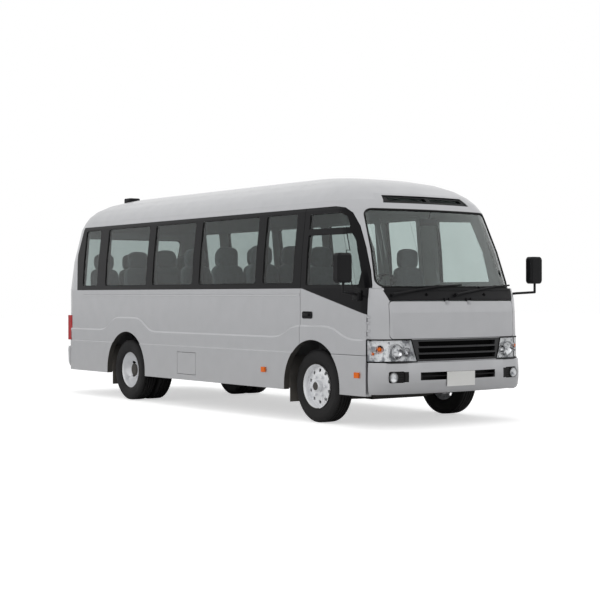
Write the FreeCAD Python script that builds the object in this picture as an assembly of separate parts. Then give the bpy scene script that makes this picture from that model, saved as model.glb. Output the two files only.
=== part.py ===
import FreeCAD, Part
import math
import os

# Minibus with a forward cab, twin rear wheels, a driver's door and one swinging entry door.
# Row frame: +X forward, +Y to the vehicle's left, +Z up.
# The origin lies on the ground below the middle of the outline.

V = FreeCAD.Vector
UP = V(0, 0, 1)
FORWARD = V(1, 0, 0)
LEFT = V(0, 1, 0)

# Driving dimensions of the whole vehicle, in millimetres
overall_length = 6990.0
overall_width = 2080.0
roof_height = 2612.0
wheelbase = 3935.0
front_overhang = 1150.0
tyre_radius = 380.0
tyre_width = 208.0
rim_flange_radius = 235.0
wall = 50.0
skin = 12.0
seam = 5.0
seat_gap = 0.3
overrun = 40.0

half_length = overall_length / 2
half_width = overall_width / 2
front_axle_x = half_length - front_overhang
rear_axle_x = front_axle_x - wheelbase

# Levels of the body, above the ground
sill_level = 325.0
lower_crease_level = 725.0
waist_level = 888.0
belt_level = 1395.0
band_top_level = 2236.0
glass_bottom_level = 1450.0
glass_top_level = 2188.0
floor_level = 730.0
bumper_top_level = 658.0

# Steps of the side: upper skin, waist band and skirt
upper_half_width = 1020.0
waist_half_width = 1033.0
bevel_height = 26.0

# Wheel arches
arch_radius = 482.0
rear_arch_radius = 486.0
front_flare_top = 1015.0
rear_flare_top = 1052.0
flare_half_top = 325.0
flare_half_foot = 590.0
flare_ease = 130.0
ease_steps = 4


def box(x0, x1, y0, y1, z0, z1):
    return Part.makeBox(x1 - x0, y1 - y0, z1 - z0, V(x0, y0, z0))


def polygon(points):
    return Part.makePolygon([V(*p) for p in points] + [V(*points[0])])


def side_prism(points, y0, y1):
    """A prism of an outline drawn on the side view, from y0 to y1."""
    face = Part.Face(polygon([(x, y0, z) for x, z in points]))
    return face.extrude(V(0, y1 - y0, 0))


def front_prism(points, x0, x1):
    """A prism of an outline drawn on the front view, from x0 to x1."""
    face = Part.Face(polygon([(x0, y, z) for y, z in points]))
    return face.extrude(V(x1 - x0, 0, 0))


def cylinder_y(x, z, y0, y1, radius):
    return Part.makeCylinder(radius, y1 - y0, V(x, y0, z), LEFT)


def rod(start, end, radius):
    way = end.sub(start)
    return Part.makeCylinder(radius, way.Length, start, way)


def mirrored(shape):
    return shape.mirror(V(0, 0, 0), LEFT)


def fused(pieces):
    result = pieces[0].multiFuse(pieces[1:]) if len(pieces) > 1 else pieces[0]
    return result.removeSplitter()


def joined(pieces):
    """Solids of one node that don't touch."""
    solids = []
    for piece in pieces:
        solids += piece.Solids
    return Part.makeCompound(solids)


def save(name, shape):
    if shape.ShapeType != "Compound" and len(shape.Solids) == 1:
        shape = shape.Solids[0]
    if not shape.isValid():
        print("not valid:", name)
    shape.exportStep("parts/" + name + ".step")
    print(name, len(shape.Solids), "solids", round(shape.Volume / 1e6, 2), "litres")


# Plan outline of the body at one height: a bowed front and rear, four corner arcs and two straight sides


def bow_of(half, corner, turn):
    """Radius of the bowed end whose tangent meets both corner arcs at the same turn on every level."""
    return corner + (half - corner) / math.sin(turn)


def arc(start, middle, end):
    return Part.Arc(start, middle, end).toShape()


def arc_points(centre_x, centre_y, radius, start, end, steps, level):
    """Points along an arc, as the fine chords that the body panels are built on."""
    turns = [start + (end - start) * i / steps for i in range(steps + 1)]
    return [V(centre_x + radius * math.cos(a), centre_y + radius * math.sin(a), level) for a in turns]


def plan_outline(level, front, rear, half, front_corner, rear_corner, front_turn, inset=0):
    """Points of the outline at a level: bowed ends, round corners; front and rear are reaches, both positive."""
    outline = []
    ends = ((1, front, front_corner, front_turn), (-1, rear, rear_corner, rear_turn))
    for sign, reach, corner, turn in ends:
        bow = bow_of(half, corner, turn)
        x = reach - bow + (bow - corner) * math.cos(turn)
        right = arc_points(x, corner - half, corner - inset, -math.pi / 2, -turn, corner_steps, level)
        middle = arc_points(reach - bow, 0, bow - inset, -turn, turn, bow_steps, level)
        left = [V(p.x, -p.y, level) for p in reversed(right)]
        outline += [V(sign * p.x, sign * p.y, level) for p in right + middle[1:-1] + left]
    return outline


def stacked(outlines):
    """A closed solid from outlines at rising levels: matching chords are parallel, so each panel is flat."""
    faces = []
    count = len(outlines[0])
    for below, above in zip(outlines, outlines[1:]):
        for i in range(count):
            j = (i + 1) % count
            corners = [below[i], below[j], above[j], above[i]]
            faces.append(Part.Face(Part.makePolygon(corners + [corners[0]])))
    for end in (outlines[0], outlines[-1]):
        faces.append(Part.Face(Part.makePolygon(end + [end[0]])))
    solid = Part.makeSolid(Part.makeShell(faces))
    return solid if solid.Volume > 0 else solid.reversed()


# Corners of the plan outline, the turn where each end's bow meets them, and the chords along each
front_turn_lower = math.radians(11.2)
front_turn_glass = math.radians(13.4)
rear_turn = math.radians(10.8)
front_corner_radius = 262.0
glass_corner_radius = 331.0
rear_corner_radius = 300.0
corner_steps = 8
bow_steps = 8

# Lower body: height as a share of the roof's, and reach ahead as a share of half the length
belt_share = belt_level / roof_height
lower_section_shares = [
    (0.1149, 0.9963), (0.2776, 0.9963), (0.3400, 0.9951),
    (0.4403, 0.9928), (0.4939, 0.9886), (belt_share, 0.9771),
]
rear_lower_share = 0.9865

# Upper body from the belt: shares of the roof's height, of half the length ahead and behind, of half the width
# and of the corner radius
upper_section_shares = [
    (belt_share, 0.9771, 0.9866, 0.9808, 1.00),
    (0.6815, 0.9382, 0.9697, 0.9567, 1.00),
    (0.8438, 0.8853, 0.9313, 0.9087, 1.00),
    (0.8806, 0.8621, 0.9162, 0.8788, 1.01),
    (0.9093, 0.8349, 0.9013, 0.8413, 1.02),
    (0.9380, 0.7969, 0.8741, 0.7750, 1.03),
    (0.9640, 0.7411, 0.8292, 0.6692, 1.03),
    (0.9832, 0.6681, 0.7625, 0.5308, 0.98),
    (0.9931, 0.5994, 0.6981, 0.4269, 0.84),
    (1.0000, 0.5150, 0.6266, 0.3173, 0.66),
]


def upper_sizes():
    """Level, reaches, half width and corner radii of each upper section, in millimetres."""
    rows = []
    for height, front, rear, half, corner in upper_section_shares:
        rows.append((height * roof_height, front * half_length, rear * half_length, half * half_width,
                     corner * glass_corner_radius, corner * rear_corner_radius))
    return rows


def upper_form(depth, close=False):
    """The upper body's form, moved inwards by a depth at right angles to its side."""
    rows = upper_sizes()
    if depth and not close:
        rows = [rows[0], rows[2], rows[5], rows[7], rows[-1]]
    outlines = []
    for i, row in enumerate(rows):
        below, above = rows[max(i - 1, 0)], rows[min(i + 1, len(rows) - 1)]
        lean = math.atan2(below[3] - above[3], above[0] - below[0])
        if i == 0:
            lean = 0
        if i == len(rows) - 1:
            lean = math.pi / 2
        level = row[0] - depth * math.sin(lean)
        outlines.append(plan_outline(level, *row[1:], front_turn_glass, inset=depth * math.cos(lean)))
    if depth:
        first = rows[0]
        outlines.insert(0, plan_outline(first[0] - overrun, *first[1:], front_turn_glass, inset=depth))
    return stacked(outlines)


def lower_form(half, depth=0):
    """The lower body's form with a given half width, moved inwards by a depth."""
    outlines = []
    for height, front in lower_section_shares:
        outlines.append(plan_outline(height * roof_height, front * half_length, rear_lower_share * half_length,
                                     half, front_corner_radius, rear_corner_radius, front_turn_lower,
                                     inset=depth))
    return stacked(outlines)


# Seams on the side view
rear_seam_x = -3130.0
door_rear_x = 2130.0
door_front_x = 3228.0
pillar_seam_points = [
    (door_front_x, lower_crease_level), (door_front_x, 1240.0), (door_front_x, 1340.0),
    (3218.0, 1423.0), (3175.0, 1572.0), (3094.0, 1792.0), (2979.0, 2026.0),
    (2878.0, 2162.0), (2787.0, 2217.0), (2640.0, band_top_level),
]
band_rear_points = [(-2962.0, belt_level), (-3008.0, 1881.0), (-2890.0, band_top_level)]


def ahead_of_seam(offset=0):
    """Everything ahead of the pillar seam, on both sides, moved by an offset along X."""
    points = [(x + offset, z) for x, z in pillar_seam_points]
    far = half_length + overrun
    outline = [(points[0][0], 0)] + points + [(points[-1][0], roof_height), (far, roof_height), (far, 0)]
    return side_prism(outline, -overall_width, overall_width)


def behind_band(offset=0):
    points = [(x + offset, z) for x, z in band_rear_points]
    far = -half_length - overrun
    outline = [(far, belt_level - overrun), (points[0][0], belt_level - overrun)] + points
    outline += [(points[-1][0], roof_height + overrun), (far, roof_height + overrun)]
    return side_prism(outline, -overall_width, overall_width)


def arch_space(axle_x, radius, reach):
    """The opening over a wheel, down to below the sill, on both sides of the body."""
    hole = cylinder_y(axle_x, tyre_radius, -reach, reach, radius)
    foot = box(axle_x - radius, axle_x + radius, -reach, reach, 0, tyre_radius)
    return hole.fuse(foot)


def crease_outline(raise_by):
    """Top line of the waist band with its flares over both wheels, rear to front, corners eased."""
    foot, top = flare_half_foot, flare_half_top
    corners = [(-half_length - overrun, waist_level)]
    for axle_x, crest in ((rear_axle_x, rear_flare_top), (front_axle_x, front_flare_top)):
        corners += [(axle_x - foot, waist_level), (axle_x - top, crest), (axle_x + top, crest),
                    (axle_x + foot, waist_level)]
    corners.append((half_length + overrun, waist_level))
    line = [corners[0]]
    for before, corner, after in zip(corners, corners[1:], corners[2:]):
        line += eased_corner(before, corner, after)
    return [(x, z - raise_by) for x, z in line + [corners[-1]]]


def eased_corner(before, corner, after):
    """Chords in place of a corner, along a curve that leaves both sides smoothly."""
    ends = []
    for x, z in (before, after):
        share = flare_ease / math.hypot(x - corner[0], z - corner[1])
        ends.append((corner[0] + share * (x - corner[0]), corner[1] + share * (z - corner[1])))
    points = []
    for i in range(ease_steps + 1):
        t = i / ease_steps
        points.append(tuple((1 - t) ** 2 * a + 2 * t * (1 - t) * c + t ** 2 * b
                            for a, c, b in zip(ends[0], corner, ends[1])))
    return points


def below_line(points, y0, y1, lower=None):
    """A solid below a line on the side view. With a lower line, its outer face stops lower, as a bevel."""
    x0, x1 = points[0][0], points[-1][0]
    near = polygon([(x, y0, z) for x, z in points] + [(x1, y0, 0), (x0, y0, 0)])
    line = lower or points
    far = polygon([(x, y1, z) for x, z in line] + [(x1, y1, 0), (x0, y1, 0)])
    return Part.makeLoft([near, far], True, True)


def stepped_side(sign):
    """One side's lower wall: upper skin, waist band and skirt, hollow on the inside."""
    inner = lower_form(upper_half_width, wall)
    level0, level1 = sill_level, belt_level
    window = box(-half_length, half_length, 0, half_width + overrun, level0, level1)
    upper = lower_form(upper_half_width).common(window)
    step = waist_half_width - upper_half_width
    waist_line = crease_outline(0)
    waist = lower_form(waist_half_width).common(window)
    waist = waist.common(fused([
        below_line(waist_line, 0, upper_half_width),
        below_line(waist_line, upper_half_width, waist_half_width + step / 2, crease_outline(bevel_height)),
    ]))
    skirt_line = [(-half_length - overrun, lower_crease_level), (half_length + overrun, lower_crease_level)]
    low_line = [(x, z - bevel_height / 2) for x, z in skirt_line]
    skirt = lower_form(half_width).common(window)
    skirt = skirt.common(fused([
        below_line(skirt_line, 0, waist_half_width),
        below_line(skirt_line, waist_half_width, half_width + step / 2, low_line),
    ]))
    side = upper.multiFuse([waist, skirt]).cut(inner)
    return side if sign > 0 else mirrored(side)


# Windows on the side view: rear and front edges, from the band's rear end forwards
quarter_window = (-2813.0, -2400.0)
long_windows = [(-2184.0, -1119.0), (-965.0, -34.0)]
right_front_windows = [(113.0, 1283.0), (1428.0, 1995.0)]
left_front_window = (113.0, 1024.0)
left_door_window = (1226.0, 1770.0)
assistant_window_points = [(2115.0, 1462.0), (2905.0, 1462.0), (2835.0, 1790.0), (2668.0, glass_top_level - 60.0),
                           (2115.0, glass_top_level - 30.0)]
window_corner = 38.0

# Driver's door on the right
door_main_window = [(2222.0, 1428.0), (3088.0, 1428.0), (3097.0, 1553.0), (2985.0, 1870.0), (2925.0, 1948.0),
                    (2222.0, 1952.0)]
door_vent_window = [(2222.0, 2008.0), (2898.0, 2008.0), (2828.0, 2128.0), (2735.0, 2168.0), (2222.0, 2168.0)]
door_slope_x = 2160.0
door_slope_fall = 0.247

# Entry door on the left
entry_rear_x = 1140.0
entry_front_x = 1842.0
entry_sill_level = 372.0

# Door and lid hinges: a knuckle on the leaf between two on the body, about one upright or level line
hinge_radius = 6.0
hinge_height = 40.0
hinge_tab = 34.0
door_hinge_y = upper_half_width - 4.0
door_hinge_levels = (940.0, 1080.0)
entry_hinge_y = half_width + 1.0
entry_hinge_levels = (800.0, 1250.0)
lid_hinge_radius = 4.0
lid_hinge_y = 150.0
front_lid_hinge_x = half_length - 33.0

glass_depth = 10.0
glass_thickness = 6.0
pane_gap = 0.3


def window_prism(x0, x1, z0, z1, y0, y1, grow=0):
    """A rounded window opening through one side wall."""
    x0, x1, z0, z1 = x0 - grow, x1 + grow, z0 - grow, z1 + grow
    block = box(x0, x1, y0, y1, z0, z1)
    upright = [e for e in block.Edges if abs(e.Vertexes[0].Y - e.Vertexes[1].Y) > wall]
    return block.makeFillet(window_corner, upright)


def outline_prism(points, y0, y1, grow=0):
    """A window opening with straight slanted edges, its corners rounded."""
    cx = sum(p[0] for p in points) / len(points)
    cz = sum(p[1] for p in points) / len(points)
    moved = []
    for x, z in points:
        away = math.hypot(x - cx, z - cz)
        moved.append((x + grow * (x - cx) / away, z + grow * (z - cz) / away))
    block = side_prism(moved, y0, y1)
    upright = [e for e in block.Edges if abs(e.Vertexes[0].Y - e.Vertexes[1].Y) > wall]
    return block.makeFillet(window_corner / 2, upright)


def right_windows(grow=0):
    """Openings of the fixed windows in the right band."""
    far, near = -half_width - overrun, -half_width / 2
    spans = [quarter_window] + long_windows + right_front_windows
    return [window_prism(a, b, glass_bottom_level, glass_top_level, far, near, grow) for a, b in spans]


def left_windows(grow=0):
    """Openings of the fixed windows in the left band."""
    near, far = half_width / 2, half_width + overrun
    spans = [quarter_window] + long_windows + [left_front_window]
    panes = [window_prism(a, b, glass_bottom_level, glass_top_level, near, far, grow) for a, b in spans]
    return panes + [outline_prism(assistant_window_points, near, far, grow)]


def door_outline(inset=0):
    """The driver's door opening on the side view; the leaf is inset from it by the seam."""
    foot = lower_crease_level + inset
    points = [(door_rear_x + inset, foot), (door_front_x - inset, foot)]
    points += [(x - inset, z) for x, z in pillar_seam_points[1:-1]]
    last_x, last_z = pillar_seam_points[-1]
    return points + [(last_x - inset, last_z - inset), (door_rear_x + inset, band_top_level - inset)]


def entry_outline(inset=0):
    x0, x1 = entry_rear_x + inset, entry_front_x - inset
    z0, z1 = entry_sill_level + inset, band_top_level - inset
    return [(x0, z0), (x1, z0), (x1, z1), (x0, z1)]


class Shells:
    """The body's hollow forms, cut once and shared by the panels."""

    def __init__(self):
        self.upper = upper_form(0).cut(upper_form(wall))
        self.left_lower = stepped_side(1)
        arches = arch_space(front_axle_x, arch_radius, overall_width)
        self.arches = arches.fuse(arch_space(rear_axle_x, rear_arch_radius, overall_width))
        self.left_lower = self.left_lower.cut(self.arches)
        self.right_lower = mirrored(self.left_lower)
        self.glass = upper_form(glass_depth, True).cut(upper_form(glass_depth + glass_thickness, True))


def pillar_x(level):
    """The pillar seam's X at a level."""
    for (x0, z0), (x1, z1) in zip(pillar_seam_points, pillar_seam_points[1:]):
        if z0 <= level <= z1:
            return x0 + (x1 - x0) * (level - z0) / (z1 - z0)


def band_region(y0, y1):
    """The black window band between belt and roof, from the rear corner to the front pillar's seam."""
    rear = [(x, z) for x, z in band_rear_points]
    rear[0] = (rear[0][0], belt_level + seat_gap)
    rear[-1] = (rear[-1][0], band_top_level - seat_gap)
    front = [(pillar_x(belt_level) - 2 * seat_gap, belt_level + seat_gap)]
    front += [(x - 2 * seat_gap, z) for x, z in pillar_seam_points if belt_level < z < band_top_level]
    front.append((pillar_seam_points[-1][0] - 2 * seat_gap, band_top_level - seat_gap))
    return side_prism(rear + front[::-1], y0, y1)


def window_frames(shells):
    """Black window bands of both sides with their pillars, around the doors and panes."""
    far = half_width + overrun
    right = shells.upper.common(band_region(-far, -half_width / 2))
    right = right.common(box(-half_length, door_rear_x, -far, 0, 0, roof_height))
    right = right.cut(Part.makeCompound(right_windows()))
    left = shells.upper.common(band_region(half_width / 2, far))
    left = left.cut(Part.makeCompound(left_windows() + [side_prism(entry_outline(), 0, far)]))
    return joined([right, left])


def side_panels(shells):
    """Lower walls from the rear corner seam to the front seam, with skirt, sill and both arches."""
    region = box(rear_seam_x, door_front_x - seat_gap, -overall_width, overall_width, sill_level, belt_level)
    region = region.cut(ahead_of_seam(-seat_gap))
    right = shells.right_lower.common(region).cut(side_prism(door_outline(), -overall_width, 0))
    left = shells.left_lower.common(region).cut(side_prism(entry_outline(), 0, overall_width))
    right = right.cut(lid_prism(seam))
    for level in entry_hinge_levels:
        left = left.multiFuse(upright_hinge(entry_front_x - seam, entry_hinge_y, level, hinge_radius, False,
                                            -hinge_tab))
    for level in (fuel_lid_bottom + wall, fuel_lid_top - wall):
        right = right.multiFuse(upright_hinge(fuel_lid_front_x, -half_width, level, lid_hinge_radius, False,
                                              skin))
    return right, left


# Fuel lid in the right skirt
fuel_lid_rear_x = -326.0
fuel_lid_front_x = 82.0
fuel_lid_bottom = 395.0
fuel_lid_top = 649.0


def lid_prism(grow=0):
    return box(fuel_lid_rear_x - grow, fuel_lid_front_x + grow, -overall_width, -half_width / 2,
               fuel_lid_bottom - grow, fuel_lid_top + grow)


def fuel_lid(shells):
    lid = shells.right_lower.common(lid_prism())
    keep = box(fuel_lid_rear_x, fuel_lid_front_x, -half_width - overrun, -half_width + 2 * skin,
               0, belt_level)
    lid = lid.common(keep)
    clear = lid_hinge_radius + seat_gap
    lid = lid.cut(box(fuel_lid_front_x - clear, fuel_lid_front_x, -half_width - overrun, -half_width + clear,
                      fuel_lid_bottom, fuel_lid_top))
    for level in (fuel_lid_bottom + wall, fuel_lid_top - wall):
        lid = lid.multiFuse(upright_hinge(fuel_lid_front_x, -half_width, level, lid_hinge_radius, True,
                                          skin))
    return lid


# Rear window and rear panel
rear_window_half = 760.0
rear_window_bottom = 1440.0
rear_window_top = 2110.0
rear_step_level = 640.0


def rear_window_space(grow=0):
    x0, x1 = -half_length - overrun, rear_seam_x + 2 * overrun
    y, z0, z1 = rear_window_half + grow, rear_window_bottom - grow, rear_window_top + grow
    block = box(x0, x1, -y, y, z0, z1)
    along = [e for e in block.Edges if abs(e.Vertexes[0].X - e.Vertexes[1].X) > wall]
    return block.makeFillet(window_corner * 2, along)


def rear_panel(shells):
    """Rear wall with its corners, behind the seams of the sides and under the roof."""
    lower = lower_form(upper_half_width).cut(lower_form(upper_half_width, wall))
    lower = lower.common(box(-half_length - overrun, rear_seam_x - seat_gap, -overall_width, overall_width,
                             rear_step_level, belt_level))
    upper = shells.upper.common(behind_band(-seat_gap))
    upper = upper.common(box(-half_length - overrun, 0, -overall_width, overall_width,
                             belt_level, band_top_level - seat_gap))
    rear = lower.fuse(upper).cut(rear_window_space())
    return rear.cut(tail_lamp_space(0))


def rear_window(shells):
    pane = shells.glass.common(rear_window_space(-seat_gap))
    return pane.common(box(-half_length, rear_seam_x, -overall_width, overall_width, 0, roof_height))


def roof_panel(shells):
    """Roof from the top of the window bands, with the brow over the windscreen."""
    roof = shells.upper.common(box(-half_length, half_length, -overall_width, overall_width,
                                   band_top_level, roof_height + overrun))
    return roof.cut(brow_space())


# Windscreen, front frame and brow
screen_bottom = 1402.0
screen_bottom_half = 905.0
screen_top = 2196.0
screen_top_half = 822.0
brow_half_top = 545.0
brow_half_bottom = 590.0
brow_bottom = 2268.0
brow_top = 2352.0
front_cut_x = 2600.0


def screen_space(grow=0):
    """Windscreen opening: a trapezium with rounded corners, seen from the front."""
    low, high = screen_bottom - grow, screen_top + grow
    foot, head = screen_bottom_half + grow, screen_top_half + grow
    points = [(-foot, low), (foot, low), (head, high), (-head, high)]
    block = front_prism(points, front_cut_x, half_length + overrun)
    along = [e for e in block.Edges if abs(e.Vertexes[0].X - e.Vertexes[1].X) > wall]
    return block.makeFillet(window_corner * 2, along)


def brow_space(grow=0):
    points = [(-brow_half_bottom - grow, brow_bottom - grow), (brow_half_bottom + grow, brow_bottom - grow),
              (brow_half_top + grow, brow_top + grow), (-brow_half_top - grow, brow_top + grow)]
    return front_prism(points, front_cut_x, half_length + overrun)


# Front lid, cowl and grille on the front wall
lid_half = 845.0
lid_bottom = 893.0
lid_top = 1262.0
cowl_half = 880.0
cowl_bottom = 1272.0
cowl_top = 1372.0
grille_half_top = 604.0
grille_half_bottom = 540.0
grille_top = 884.0
grille_bottom = 664.0
lamp_rear_x = door_front_x


def lid_space(grow=0):
    """The front lid, seen from the front, with rounded lower corners."""
    block = box(front_cut_x, half_length + overrun, -lid_half - grow, lid_half + grow,
                lid_bottom - grow, lid_top + grow)
    along = [e for e in block.Edges if abs(e.Vertexes[0].X - e.Vertexes[1].X) > wall]
    return block.makeFillet(window_corner, along)


def cowl_space(grow=0):
    points = [(-cowl_half - grow, cowl_top + grow), (-cowl_half + window_corner - grow, cowl_bottom - grow),
              (cowl_half - window_corner + grow, cowl_bottom - grow), (cowl_half + grow, cowl_top + grow)]
    return front_prism(points, front_cut_x, half_length + overrun)


def grille_space(grow=0):
    low, high = grille_bottom - grow, grille_top + grow
    foot, head = grille_half_bottom + grow, grille_half_top + grow
    points = [(-foot, low), (foot, low), (head, high), (-head, high)]
    return front_prism(points, front_cut_x, half_length + overrun)


def head_lamp_space(grow=0):
    """Both head lamp recesses, from the grille's ends round the corners."""
    right = front_prism([(-grille_half_bottom - seam + grow, grille_bottom - grow),
                         (-grille_half_top - seam + grow, grille_top + grow),
                         (-half_width - overrun, grille_top + grow), (-half_width - overrun, grille_bottom - grow)],
                        lamp_rear_x - grow, half_length + overrun)
    return right.fuse(mirrored(right))


def front_wall():
    """The front half of the lower body below the belt, as one hollow wall."""
    form = lower_form(upper_half_width).cut(lower_form(upper_half_width, wall))
    return form.common(ahead_of_seam()).common(box(front_cut_x, half_length, -overall_width, overall_width,
                                                   bumper_top_level + seat_gap, belt_level))


def front_frame(shells):
    """Front wall with both windscreen pillars: openings for lid, cowl, grille, lamps and windscreen."""
    upper = shells.upper.common(ahead_of_seam()).common(
        box(front_cut_x, half_length, -overall_width, overall_width, belt_level, band_top_level - seat_gap))
    frame = front_wall().fuse(upper)
    spaces = [screen_space(), lid_space(seam), cowl_space(), grille_space(), head_lamp_space()]
    spaces.append(box(front_cut_x, half_length, seam - cowl_half + window_corner, cowl_half - window_corner - seam,
                      lid_top, cowl_bottom + seam))
    for space in spaces:
        frame = frame.cut(space)
    for level in door_hinge_levels:
        frame = frame.multiFuse(upright_hinge(door_front_x - seam, -door_hinge_y, level, hinge_radius, False,
                                              hinge_tab))
    return frame


def windscreen(shells):
    pane = shells.glass.common(screen_space(-seat_gap))
    return pane.common(box(front_cut_x, half_length, -overall_width, overall_width, belt_level, roof_height))


def front_lid():
    lid = front_wall().common(lid_space()).common(plate_depth(skin * 2))
    return lid.multiFuse(level_hinges(True))


def level_hinges(on_leaf):
    """Front lid hinges about a level line ahead of the skin: one knuckle on the lid, two on the cowl."""
    pieces = []
    half = hinge_height / 2
    for sign in (-1, 1):
        y = sign * lid_hinge_y
        spans = [(y - half, y + half)]
        if not on_leaf:
            gap = half + seat_gap
            spans = [(y - gap - half, y - gap), (y + gap, y + gap + half)]
        for y0, y1 in spans:
            pieces.append(cylinder_y(front_lid_hinge_x, lid_top, y0, y1, lid_hinge_radius))
            z0, z1 = lid_top + lid_hinge_radius / 2, lid_top + hinge_tab
            if on_leaf:
                z0, z1 = lid_top - hinge_tab, lid_top
            pieces.append(box(front_lid_hinge_x - hinge_tab / 2, front_lid_hinge_x, y0, y1, z0, z1))
    return pieces


def plate_depth(depth):
    """The layer of the lower front just under the skin."""
    return lower_form(upper_half_width).cut(lower_form(upper_half_width, depth))


def cowl_panel():
    """Black panel under the windscreen, set a little back from the skin."""
    layer = lower_form(upper_half_width, skin / 2).cut(lower_form(upper_half_width, skin * 3))
    return layer.common(cowl_space(-seat_gap)).multiFuse(level_hinges(False))


# Tail lamps, tall units at the rear corners
tail_lamp_bottom = 720.0
tail_lamp_top = 1055.0
tail_lamp_inner = 850.0
tail_lamp_front_x = -3262.0


def tail_lamp_space(grow):
    space = box(-half_length - overrun, tail_lamp_front_x + grow, -overall_width, -tail_lamp_inner + grow,
                tail_lamp_bottom - grow, tail_lamp_top + grow)
    return space.fuse(mirrored(space))


def rear_lamps():
    return joined([plate_depth(wall).common(tail_lamp_space(-seat_gap))])


def body_layer(half, depth):
    return lower_form(half).cut(lower_form(half, depth))


# Front bumper: level and reach of each section, as shares of the roof's height and of half the length
bumper_section_shares = [
    (0.1317, 0.9897), (0.1455, 0.9960), (0.1723, 0.9994), (0.1991, 1.0000), (0.2481, 0.9977),
    (bumper_top_level / roof_height, 0.9940),
]
bumper_rear_x = 3262.0
bumper_turn = math.radians(12.0)
bumper_corner_radius = 225.0
bumper_mouth_half = 509.0
bumper_mouth_bottom = 478.0
bumper_mouth_top = 556.0
mouth_bar = 4.0
mouth_slope = 26.0
fog_y = 823.0
fog_z = 514.0
fog_radius = 45.0
fog_bezel_inner = 690.0
fog_bezel_outer = 872.0
fog_bezel_bottom = 458.0
fog_bezel_top = 572.0


def bumper_form(depth):
    outlines = []
    for height, front in bumper_section_shares:
        outlines.append(plan_outline(height * roof_height, front * half_length, half_length - overrun,
                                     half_width, bumper_corner_radius, rear_corner_radius, bumper_turn,
                                     inset=depth))
    return stacked(outlines)


def fog_bezel_space(grow=0):
    block = box(front_cut_x, half_length + overrun, -fog_bezel_outer - grow, -fog_bezel_inner + grow,
                fog_bezel_bottom - grow, fog_bezel_top + grow)
    along = [e for e in block.Edges if abs(e.Vertexes[0].X - e.Vertexes[1].X) > wall]
    block = block.makeFillet(window_corner / 2, along)
    return block.fuse(mirrored(block))


def mouth_space():
    """The bumper's lower opening, wider at its top."""
    top, bottom = bumper_mouth_half, bumper_mouth_half - mouth_slope
    return front_prism([(-bottom, bumper_mouth_bottom), (bottom, bumper_mouth_bottom),
                        (top, bumper_mouth_top), (-top, bumper_mouth_top)],
                       front_cut_x, half_length + overrun)


def front_bumper():
    """Bumper cover with its lower mouth and fog lamp recesses."""
    cover = bumper_form(0).cut(bumper_form(wall))
    cover = cover.common(box(bumper_rear_x, half_length + overrun, -overall_width, overall_width,
                             0, bumper_top_level))
    mouth = mouth_space()
    middle = (bumper_mouth_bottom + bumper_mouth_top) / 2
    mouth = mouth.cut(box(front_cut_x, half_length + overrun, -overall_width, overall_width,
                          middle - mouth_bar, middle + mouth_bar))
    return cover.cut(mouth).cut(fog_bezel_space())


def fog_lamps():
    """Black bezels set into the bumper, each with a round lamp."""
    layer = bumper_form(skin).cut(bumper_form(wall)).common(fog_bezel_space(-seat_gap))
    layer = layer.common(box(bumper_rear_x, half_length, -overall_width, overall_width, 0, bumper_top_level))
    lamps = []
    for sign in (-1, 1):
        place = V(half_length - 3 * wall, sign * fog_y, fog_z)
        lamps.append(Part.makeCylinder(fog_radius, wall, place, FORWARD))
    return layer, lamps


# Rear bumper
rear_bumper_bottom = 372.0
rear_bumper_top = 636.0


def rear_bumper():
    levels = ((rear_bumper_bottom, half_length - wall), (rear_bumper_bottom + wall, half_length - skin),
              (rear_bumper_top - wall, half_length), (rear_bumper_top, half_length - skin))
    solids = []
    for depth in (0, wall):
        outlines = [plan_outline(level, half_length - overrun, reach, half_width, bumper_corner_radius,
                                 rear_corner_radius, bumper_turn, inset=depth) for level, reach in levels]
        solids.append(stacked(outlines))
    cover = solids[0].cut(solids[1])
    return cover.common(box(-half_length - overrun, rear_seam_x - seat_gap, -overall_width, overall_width,
                            0, roof_height))


# Grille: a frame with two bars, set in its opening
grille_frame = 22.0
grille_bar = 17.0
grille_bars = 2
grille_depth = 46.0


def grille():
    layer = lower_form(upper_half_width).cut(lower_form(upper_half_width, grille_depth))
    panel = layer.common(grille_space(-seat_gap))
    clear = grille_top - grille_bottom - 2 * grille_frame
    slot = (clear - grille_bars * grille_bar) / (grille_bars + 1)
    for i in range(grille_bars + 1):
        low = grille_bottom + grille_frame + i * (slot + grille_bar)
        half = grille_half_bottom - grille_frame
        points = [(-half, low), (half, low), (half + slot / 4, low + slot), (-half - slot / 4, low + slot)]
        panel = panel.cut(front_prism(points, front_cut_x, half_length + overrun))
    backing = lower_form(upper_half_width, grille_depth)
    backing = backing.cut(lower_form(upper_half_width, grille_depth + skin))
    return panel.fuse(backing.common(grille_space(-seat_gap))).removeSplitter()


def front_lamps():
    """Head lamps round the corners and fog lamps in the bumper, all on one node."""
    lens = body_layer(upper_half_width + skin / 2, wall).common(head_lamp_space(-seat_gap))
    lens = lens.common(box(lamp_rear_x + seat_gap, half_length, -overall_width, overall_width,
                           0, roof_height))
    return lens


# Side markers
marker_half_length = 36.0
marker_half_height = 28.0
marker_depth = 16.0
marker_places = [(-1, 1487.0, 520.0), (1, 1060.0, 520.0), (-1, 3112.0, 531.0), (1, 3112.0, 531.0)]


def side_markers():
    markers = []
    for sign, x, z in marker_places:
        y0, y1 = sorted((sign * (half_width + seat_gap), sign * (half_width + marker_depth)))
        markers.append(box(x - marker_half_length, x + marker_half_length, y0, y1,
                           z - marker_half_height, z + marker_half_height))
    return joined(markers)


# Roof ventilator and brow vent
ventilator_rear_x = -2650.0
ventilator_front_x = -2470.0
ventilator_y = -400.0
ventilator_half = 80.0
ventilator_rise = 22.0
brow_slot_half = 240.0
brow_slot_height = 34.0
brow_slot_y = 265.0


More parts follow.
